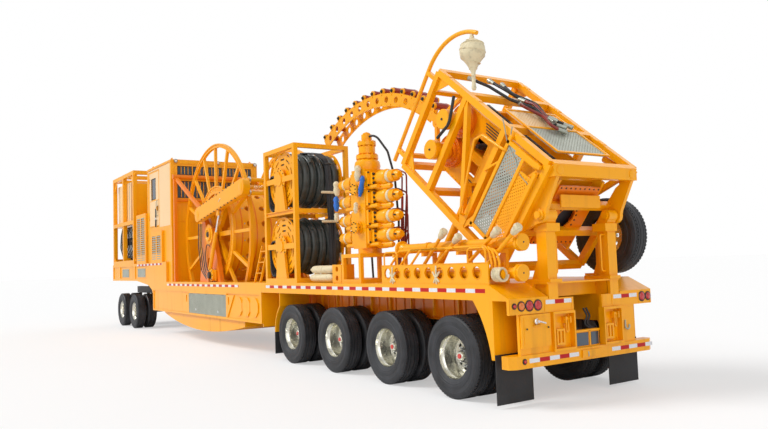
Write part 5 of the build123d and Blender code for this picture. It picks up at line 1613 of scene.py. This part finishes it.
def injector_side_details():
    """Slots drawn as black bars in painted shade, bolts, opening frames and gripper chains of the injector.
    """
    shape = Shape("injector_side_details")
    for side in (-1, 1):
        face = side * 0.421
        shape.paint("frame_black")
        # the slots are thin black bars on the side plate: painted shade standing for their dark openings
        for u0, u1, v0, rows in ((0.92, 1.56, 0.285, 4), (0.90, 1.44, 1.12, 4)):
            for row in range(rows):
                shape.brick(inj_frame((u0 + u1) / 2, v0 + row * 0.036, face),
                            (u1 - u0 - row * 0.05, 0.015, 0.006), 0.002)
        shape.paint("unit_enamel")
        for n in range(22):
            u = 0.42 + n * 0.095
            add_heads(shape, [inj(u, 0.255, face), inj(u, 1.265, face)], (0, side, 0), 0.010, 0.010)
        # ring plates round the side openings
        for u, v, w, h in ((1.0, 0.62, 0.26, 0.20), (1.0, 0.96, 0.26, 0.20), (1.6, 0.76, 0.42, 0.26)):
            for du, dv, a, b in ((0, h / 2 + 0.01, w + 0.04, 0.02), (0, -h / 2 - 0.01, w + 0.04, 0.02),
                                 (w / 2 + 0.01, 0, 0.02, h), (-w / 2 - 0.01, 0, 0.02, h)):
                shape.brick(inj_frame(u + du, v + dv, face), (a, b, 0.012), 0.003)
        shape.paint("oiled_steel")
        for u, v in ((0.98, 0.62), (1.6, 0.76)):
            shape.turned([(0, 0.0), (0, 0.05), (0.10, 0.045), (0.10, 0.03), (0.16, 0.03), (0.16, 0.0)],
                         inj(u, v, side * 0.30), (0, side, 0), 20)
    # gripper chains seen inside the frame
    for v in (0.45, 0.935):
        loop = [inj(0.62, v - 0.19, 0), inj(2.0, v - 0.19, 0)]
        shape.paint("oiled_steel").merge(beads("gripper_blocks", loop, 0.075, (0.05, 0.05, 0.5)))
    shape.done("injector", slot="machinery")


def injector_end_plate():
    """The bolted plate, pins and lugs at the injector frame's lower end."""
    shape = Shape("injector_end_plate")
    # the end plate takes the darker enamel, painted shade
    shape.paint("deep_enamel")
    # on the frame's lower end: rows of bolts round a pointed opening
    way, normal = inj(0, -1, 0) - inj(0, 0, 0), inj(1, 0, 0) - inj(0, 0, 0)
    place = Matrix((Vector((0, 1, 0)), way, normal)).transposed().to_4x4()
    place.translation = inj(2.495, 0.76, 0)
    opening = arc((0, 0.0), 0.15, -20, 200, 18) + [(0.0, -0.27)]
    shape.plate([(-0.38, -0.42), (0.38, -0.42), (0.38, 0.46), (-0.38, 0.46)], (-0.01, 0.01), place, [opening])
    # a black sheet just inside the frame behind the pointed opening: painted shade seen through it
    shape.paint("frame_black").plate([(-0.22, -0.32), (0.22, -0.32), (0.22, 0.22), (-0.22, 0.22)],
                                     (-0.10, -0.09), place)
    shape.paint("oiled_steel")
    for n in range(18):
        a = TURN * n / 18
        add_heads(shape, [place @ Vector((0.19 * cos(a), -0.04 + 0.22 * sin(a), 0.01))], normal, 0.010, 0.01)
    for n in range(9):
        for h in (-0.39, 0.43):
            add_heads(shape, [place @ Vector((-0.34 + n * 0.085, h, 0.01))], normal, 0.009, 0.008)
    shape.paint("unit_enamel")
    shape.bar(place @ Vector((-0.36, 0.30, 0.10)), place @ Vector((0.36, 0.30, 0.10)), 0.03, 0.16, 0.004)
    for side in (-1, 1):
        shape.turned([(-0.012, 0.055), (0.006, 0.055), (0.009, 0.045), (0.009, 0.0)],
                     (9.78, side * 0.66, 2.755), (1, 0, 0), 32)
        shape.turned([(0, 0.07), (0.02, 0.07), (0.025, 0.055), (0.025, 0.0)], (9.47, side * 0.709, 2.25),
                     (0, side, 0), 32)
        shape.bar((9.24, side * 0.80, 3.05), (9.60, side * 0.80, 2.79), 0.09, 0.09, 0.03)
        for along in (0.2, 0.95, 1.9):
            shape.brick(inj_frame(along, -0.047, side * 0.755, turned=True), (0.12, 0.07, 0.012), 0.003)
    shape.done("injector")


def injector_hoses():
    """Hoses over the injector's top and beside it, with hanging chains."""
    left = INJECTOR_LEFT
    shape = Shape("injector_hoses")
    shape.paint("flap_rubber")
    # hoses over the top: along the frame, above its platform, y
    black, red = ([[inj(u, -0.075 - rise, y) for u, rise, y in path] for path in paths] for paths in (
        [[(0.25, 0, -0.45), (0.55, 0.03, -0.3), (0.85, 0, -0.12), (1.2, 0.05, 0.05), (1.55, 0.02, 0.02),
          (1.75, 0.06, 0.15)],
         [(0.22, 0, -0.05), (0.6, 0.03, -0.02), (0.9, 0, 0.16), (1.2, 0.04, 0.02), (1.5, 0.03, 0.22)],
         [(0.3, 0, 0.15), (0.7, 0.02, 0.05), (1.0, 0.04, 0.25), (1.35, 0.02, 0.14), (1.7, 0.05, 0.32)]],
        [[(0.95, 0, -0.02), (1.2, 0.06, -0.18), (1.45, 0.06, -0.02), (1.72, 0.04, -0.08), (1.8, 0.02, 0.12)],
         [(0.8, 0, 0.1), (1.1, 0.07, 0.1), (1.4, 0.05, 0.06), (1.62, 0.07, 0.02)]]))
    beside = [inj(0.55, 0.10, left - 0.03), inj(0.70, 0.45, left - 0.05), inj(0.56, 0.75, left - 0.03)]
    shape.pipes("black_hoses", black + [beside], 0.022, 0.16, 10)
    shape.paint("red_hose")
    shape.pipes("red_hoses", red, 0.021, 0.14, 10)
    shape.paint("zinc")
    for path in black + red:
        for end, way in ((path[0], path[1] - path[0]), (path[-1], path[-2] - path[-1])):
            shape.turned([(0, 0.0), (0, 0.032), (0.06, 0.032), (0.065, 0.027), (0.13, 0.027), (0.13, 0.0)],
                         end, way, 12)
    for start, end in (((9.05, 3.47), (9.23, 2.96)), ((9.20, 3.34), (9.16, 3.08)),
                       ((9.24, 2.95), (9.42, 2.62))):
        a, b = Vector((start[0], left - 0.03, start[1])), Vector((end[0], left - 0.03, end[1]))
        middle = (a + b) / 2 - Vector((0.03, 0, 0.04))
        for link in ((0.014, 0.006, 0.034), (0.006, 0.014, 0.030)):
            shape.merge(beads("hanging_chain", [a, middle, b], 0.03, link))
    shape.done("injector", slot="rubber")


def lamp_cover():
    """Cloth wound and tied round the lamp on its pole."""
    shape = Shape("lamp_cover")
    shape.paint("beige_wrap")
    lamp = Vector((8.45, -0.755, 4.68))
    outline = [(0.075, 0.0), (0.072, 0.024), (0.03, 0.030), (0.0, 0.042), (-0.012, 0.075), (-0.05, 0.135),
               (-0.10, 0.166), (-0.155, 0.172), (-0.20, 0.172), (-0.255, 0.150), (-0.305, 0.108),
               (-0.36, 0.072), (-0.42, 0.040), (-0.46, 0.028), (-0.60, 0.024), (-0.66, 0.034), (-0.69, 0.022),
               (-0.695, 0.0)]
    shape.turned(outline, lamp, (0, 0, 1), 28)
    # cords round it: height, radius
    for n, (height, r) in enumerate(((-0.02, 0.080), (-0.08, 0.155), (-0.16, 0.176), (-0.235, 0.160),
                                     (-0.32, 0.101), (-0.40, 0.052), (-0.5, 0.028))):
        shape.turned([(-0.010, r - 0.006), (0, r + 0.006), (0.010, r - 0.006)],
                     lamp + Vector((0, 0, height)), (0.14 * (-1) ** n, 0.1, 1), 24, ring=True)
    shape.done("injector", slot="rubber")


def arch_rollers():
    """Rollers, their axle ends and bolts along the guide arch."""
    shape = Shape("arch_rollers")
    for n in range(13):
        a = radians(55.2 + n * 66.6 / 12)
        out = Vector((cos(a), 0, sin(a)))
        point = ARCH_CENTRE + out * (ARCH_R + 0.15)
        shape.paint("red_enamel").turned([(-0.12, 0.058), (-0.11, 0.062), (-0.04, 0.056), (0.04, 0.056),
                                          (0.11, 0.062), (0.12, 0.058)], point, sides=24, ring=True)
        for side in (-1, 1):
            shape.paint("oiled_steel").turned([(0, 0.032), (0.012, 0.032), (0.014, 0.02), (0.03, 0.018),
                                               (0.03, 0.0)], point + Vector((0, side * 0.150, 0)),
                                              (0, side, 0), 14)
            shape.paint("unit_enamel")
            add_heads(shape, [ARCH_CENTRE + out * (ARCH_R + step) + Vector((0, side * 0.150, 0))
                              for step in (-0.085, 0.085)], (0, side, 0), 0.010, 0.01)
    shape.done("guide_arch")


class TUBINGUNIT_OT_injector(bpy.types.Operator):
    """Adds platforms, motors, slots, hoses and chains to the injector, and rollers to its arch"""
    bl_idname = "tubing_unit.injector"
    bl_label = "Injector"

    def execute(self, context):
        for build in (injector_platforms, injector_motors, injector_side_details, injector_end_plate,
                      injector_hoses, lamp_cover, arch_rollers):
            build()
        return {"FINISHED"}


# Power pack and steps

def engine_fittings():
    """Rocker covers, manifolds, air cleaner and exhaust of the engine."""
    low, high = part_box("engine_block")
    shape = Shape("engine_fittings")
    shape.paint("frame_black")
    for side in (-1, 1):
        y = side * 0.28
        shape.box((low.x + 0.1, high.x - 0.3), (y - 0.12, y + 0.12), (high.z - 0.01, high.z + 0.16), 0.03)
        for n in range(6):
            x = low.x + 0.25 + n * 0.22
            shape.turned([(0, 0.05), (0.01, 0.055), (0.05, 0.05), (0.05, 0.0)], (x, y, high.z + 0.15),
                         (0, 0, 1), 16)
            shape.box((x - 0.03, x + 0.03), (side * high.y, side * (high.y + 0.08)),
                      (high.z - 0.35, high.z - 0.12), 0.01)
        shape.rod((low.x + 0.15, side * (high.y + 0.09), high.z - 0.22),
                  (high.x - 0.25, side * (high.y + 0.09), high.z - 0.22), 0.07, 20)
    shape.paint("hub_steel").turned([(0, 0.14), (0.02, 0.16), (0.55, 0.16), (0.57, 0.12)],
                                    (low.x + 0.5, -0.62, high.z + 0.35), (1, 0, 0), 32)
    shape.paint("oiled_steel").turned([(0, 0.09), (0.9, 0.09), (0.92, 0.11), (1.2, 0.11), (1.22, 0.08),
                                       (1.22, 0.07), (0.05, 0.07)], (high.x - 0.2, 0.5, high.z), (0, 0, 1),
                                      24)
    shape.done("trailer", slot="machinery")


def power_pack_fittings():
    """Radiator, gussets, pipes, hoses and valves in the power pack's frame."""
    low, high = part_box("power_pack_frame")
    shape = Shape("power_pack_fittings")
    left = low.y
    shape.paint("bleached_enamel")
    # radiator and its louvres behind the left side
    shape.box((-7.62, -7.1), (left + 0.13, left + 0.19), (2.1, 4.2), 0.01)
    tip = Matrix.Rotation(radians(35), 4, "X")
    for n in range(26):
        place = Matrix.Translation((-7.36, left + 0.125, 2.2 + n * 0.077)) @ tip
        shape.brick(place, (0.44, 0.006, 0.05), 0.001)
    shape.paint("unit_enamel")
    for x in (-9.62, -8.42, -7.08):
        for z, way in ((2.06, 1), (4.82, -1)):
            shape.side([(x, z), (x + 0.22, z), (x, z + way * 0.22)], (left + 0.03, left + 0.045))
    shape.paint("hub_steel")
    for n in range(5):
        y, z = left + 0.30 + n * 0.05, 2.20 + n * 0.06
        shape.rod((-9.4, y, z), (-7.75, y, z), 0.018, 12)
    shape.paint("flap_rubber")
    lines = []
    for n in range(9):
        x = -9.3 + n * 0.19
        lines.append([(x, left + 0.22, 3.2), (x + 0.05, left + 0.16, 2.95), (x - 0.08, left + 0.17, 2.55),
                      (x + 0.12, left + 0.20, 2.25), (x + 0.10, left + 0.3, 2.0)])
    shape.pipes("engine_hoses", lines, 0.02, 0.12, 8)
    shape.paint("oiled_steel")
    for n in range(6):
        x = -9.2 + n * 0.25
        shape.box((x, x + 0.14), (left + 0.2, left + 0.34), (2.62, 2.84), 0.015)
        shape.turned([(0, 0.03), (0.05, 0.03), (0.05, 0.0)], (x + 0.07, left + 0.2, 2.73), (0, -1, 0), 14)
    shape.paint("zinc")
    # bands round the coolant tank
    low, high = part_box("coolant_tank")
    for x in (-9.3, -8.65, -8.0):
        shape.box((x, x + 0.05), (low.y - 0.004, high.y + 0.004), (low.z - 0.004, high.z + 0.004), 0.003)
    shape.done("trailer", slot="machinery")


def step_slats():
    """Treads and stringers of the folded steps."""
    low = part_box("access_steps")[0]
    shape = Shape("step_slats")
    pitch = 0.062
    for x0, top in ((-6.69, 3.45), (-5.08, 2.85)):
        for column in (0.10, 0.56):
            a, b = x0 + column, x0 + column + 0.36
            shape.paint("zinc")
            for n in range(int((top - 2.14) / pitch)):
                z = 2.06 + n * pitch
                shape.box((a, b), (low.y - 0.0009, low.y + 0.02), (z, z + 0.032), 0.003)
            shape.paint("unit_enamel")
            for edge in ((a - 0.03, a), (b, b + 0.03)):
                shape.box(edge, (low.y - 0.0009, low.y + 0.02), (2.03, top - 0.05), 0.004)
    shape.done("trailer", slot="tread_plate")


def wheel_housings():
    """Ribbed housings behind the wheels, hung from the deck's side beams, in the darker enamel that paints
    their shade.
    """
    shape = Shape("wheel_housings")
    # the housings take the darker enamel, painted shade behind the wheels
    shape.paint("deep_enamel")
    span = (3.25, 8.98)
    for side in (-1, 1):
        shape.box(span, (side * 0.625, side * 0.637), (0.92, 1.262), 0.003)
        for n in range(24):
            x = 3.35 + n * 0.24
            shape.box((x, x + 0.05), (side * 0.635, side * 0.655), (0.93, 1.26), 0.006)
        shape.box(span, (side * 0.60, side * 0.66), (0.905, 0.93), 0.005)
    shape.done("trailer")


class TUBINGUNIT_OT_power_pack(bpy.types.Operator):
    """Fills the power pack with its engine's fittings, pipes and hoses, and slats the steps"""
    bl_idname = "tubing_unit.power_pack"
    bl_label = "Power pack and steps"

    def execute(self, context):
        for build in (engine_fittings, power_pack_fittings, step_slats, wheel_housings):
            build()
        return {"FINISHED"}


# Stage

class TUBINGUNIT_OT_stage(bpy.types.Operator):
    """Lays the pale floor and sets the lamps, the sky and the camera"""
    bl_idname = "tubing_unit.stage"
    bl_label = "Floor, lamps and camera"

    def execute(self, context):
        scene = context.scene
        scene.view_settings.view_transform = "Standard"
        made = bpy.data.materials.new("stage_floor")
        made.use_nodes = True
        graph = Graph(made.node_tree)
        flat = graph.add("ShaderNodeBsdfDiffuse", {}, {"Color": (0.86, 0.86, 0.86, 1)})
        white = graph.add("ShaderNodeEmission", {}, {"Color": (1, 1, 1, 1), "Strength": 1.0})
        seen = graph.add("ShaderNodeLightPath", out="Is Camera Ray")
        mixed = graph.add("ShaderNodeMixShader", {}, {0: seen * 0.45, 1: flat, 2: white})
        graph.add("ShaderNodeOutputMaterial", {}, {0: mixed})
        span = 300.0
        mesh = bpy.data.meshes.new("stage_floor")
        mesh.from_pydata([(-span, -span, 0), (span, -span, 0), (span, span, 0), (-span, span, 0)], [],
                         [(0, 1, 2, 3)])
        mesh.materials.append(made)
        floor = bpy.data.objects.new("stage_floor", mesh)
        scene.collection.objects.link(floor)

        world = bpy.data.worlds.new("stage_sky")
        world.use_nodes = True
        graph = Graph(world.node_tree)
        camera_ray = graph.add("ShaderNodeLightPath", out="Is Camera Ray")
        glossy_ray = graph.add("ShaderNodeLightPath", out="Is Glossy Ray")
        through_ray = graph.add("ShaderNodeLightPath", out="Is Transmission Ray")
        strength = 0.42 + (camera_ray + glossy_ray * 0.4 + through_ray).clip() * 0.58
        sky = graph.add("ShaderNodeBackground", {}, {"Color": (1, 1, 1, 1), "Strength": strength})
        graph.add("ShaderNodeOutputWorld", {}, {0: sky})
        scene.world = world

        # name, strength, soft angle in degrees, where the light comes from
        for name, strength, soft, source in (
            ("key", 2.2, 25, (-0.45, -0.75, 0.85)),
            ("fill", 0.95, 60, (0.9, -0.35, 0.5)),
            ("back", 0.5, 60, (-0.2, 0.9, 0.6)),
        ):
            lamp = bpy.data.lights.new("lamp_" + name, "SUN")
            lamp.energy, lamp.angle = strength, radians(soft)
            held = bpy.data.objects.new("lamp_" + name, lamp)
            held.matrix_world = facing((0, 0, 20), source)
            scene.collection.objects.link(held)

        view = bpy.data.cameras.new("view")
        view.lens, view.sensor_width, view.clip_end = 32.93, 36.0, 1000.0
        camera = bpy.data.objects.new("view", view)
        camera.matrix_world = Matrix((
            (0.55325, 0.07676, 0.82947, 15.4106), (0.83231, -0.01004, -0.55422, -6.9149),
            (-0.03422, 0.99700, -0.06944, 1.733), (0, 0, 0, 1)))
        scene.collection.objects.link(camera)
        scene.camera = camera
        return {"FINISHED"}


class TUBINGUNIT_PT_panel(bpy.types.Panel):
    """Lists the settings and the pieces"""
    bl_idname = "TUBINGUNIT_PT_panel"
    bl_label = "Tubing unit"
    bl_space_type = "VIEW_3D"
    bl_region_type = "UI"
    bl_category = "Tubing unit"

    def draw(self, context):
        for name in TubingUnitSettings.__annotations__:
            self.layout.prop(context.scene.tubing_unit, name)
        for operator in OPERATORS:
            self.layout.operator(operator.bl_idname)


OPERATORS = (
    TUBINGUNIT_OT_finishes,
    TUBINGUNIT_OT_wheels,
    TUBINGUNIT_OT_markings,
    TUBINGUNIT_OT_frame,
    TUBINGUNIT_OT_cabin,
    TUBINGUNIT_OT_reel,
    TUBINGUNIT_OT_hose_reels,
    TUBINGUNIT_OT_stack,
    TUBINGUNIT_OT_rack,
    TUBINGUNIT_OT_injector,
    TUBINGUNIT_OT_power_pack,
    TUBINGUNIT_OT_stage,
)


def register():
    for entry in (TubingUnitSettings, *OPERATORS, TUBINGUNIT_PT_panel):
        bpy.utils.register_class(entry)
    bpy.types.Scene.tubing_unit = bpy.props.PointerProperty(type=TubingUnitSettings)


def unregister():
    del bpy.types.Scene.tubing_unit
    for entry in (TUBINGUNIT_PT_panel, *reversed(OPERATORS), TubingUnitSettings):
        bpy.utils.unregister_class(entry)


def main():
    register()
    for operator in OPERATORS:
        group, name = operator.bl_idname.split(".")
        getattr(getattr(bpy.ops, group), name)()


if __name__ == "__main__":
    main()
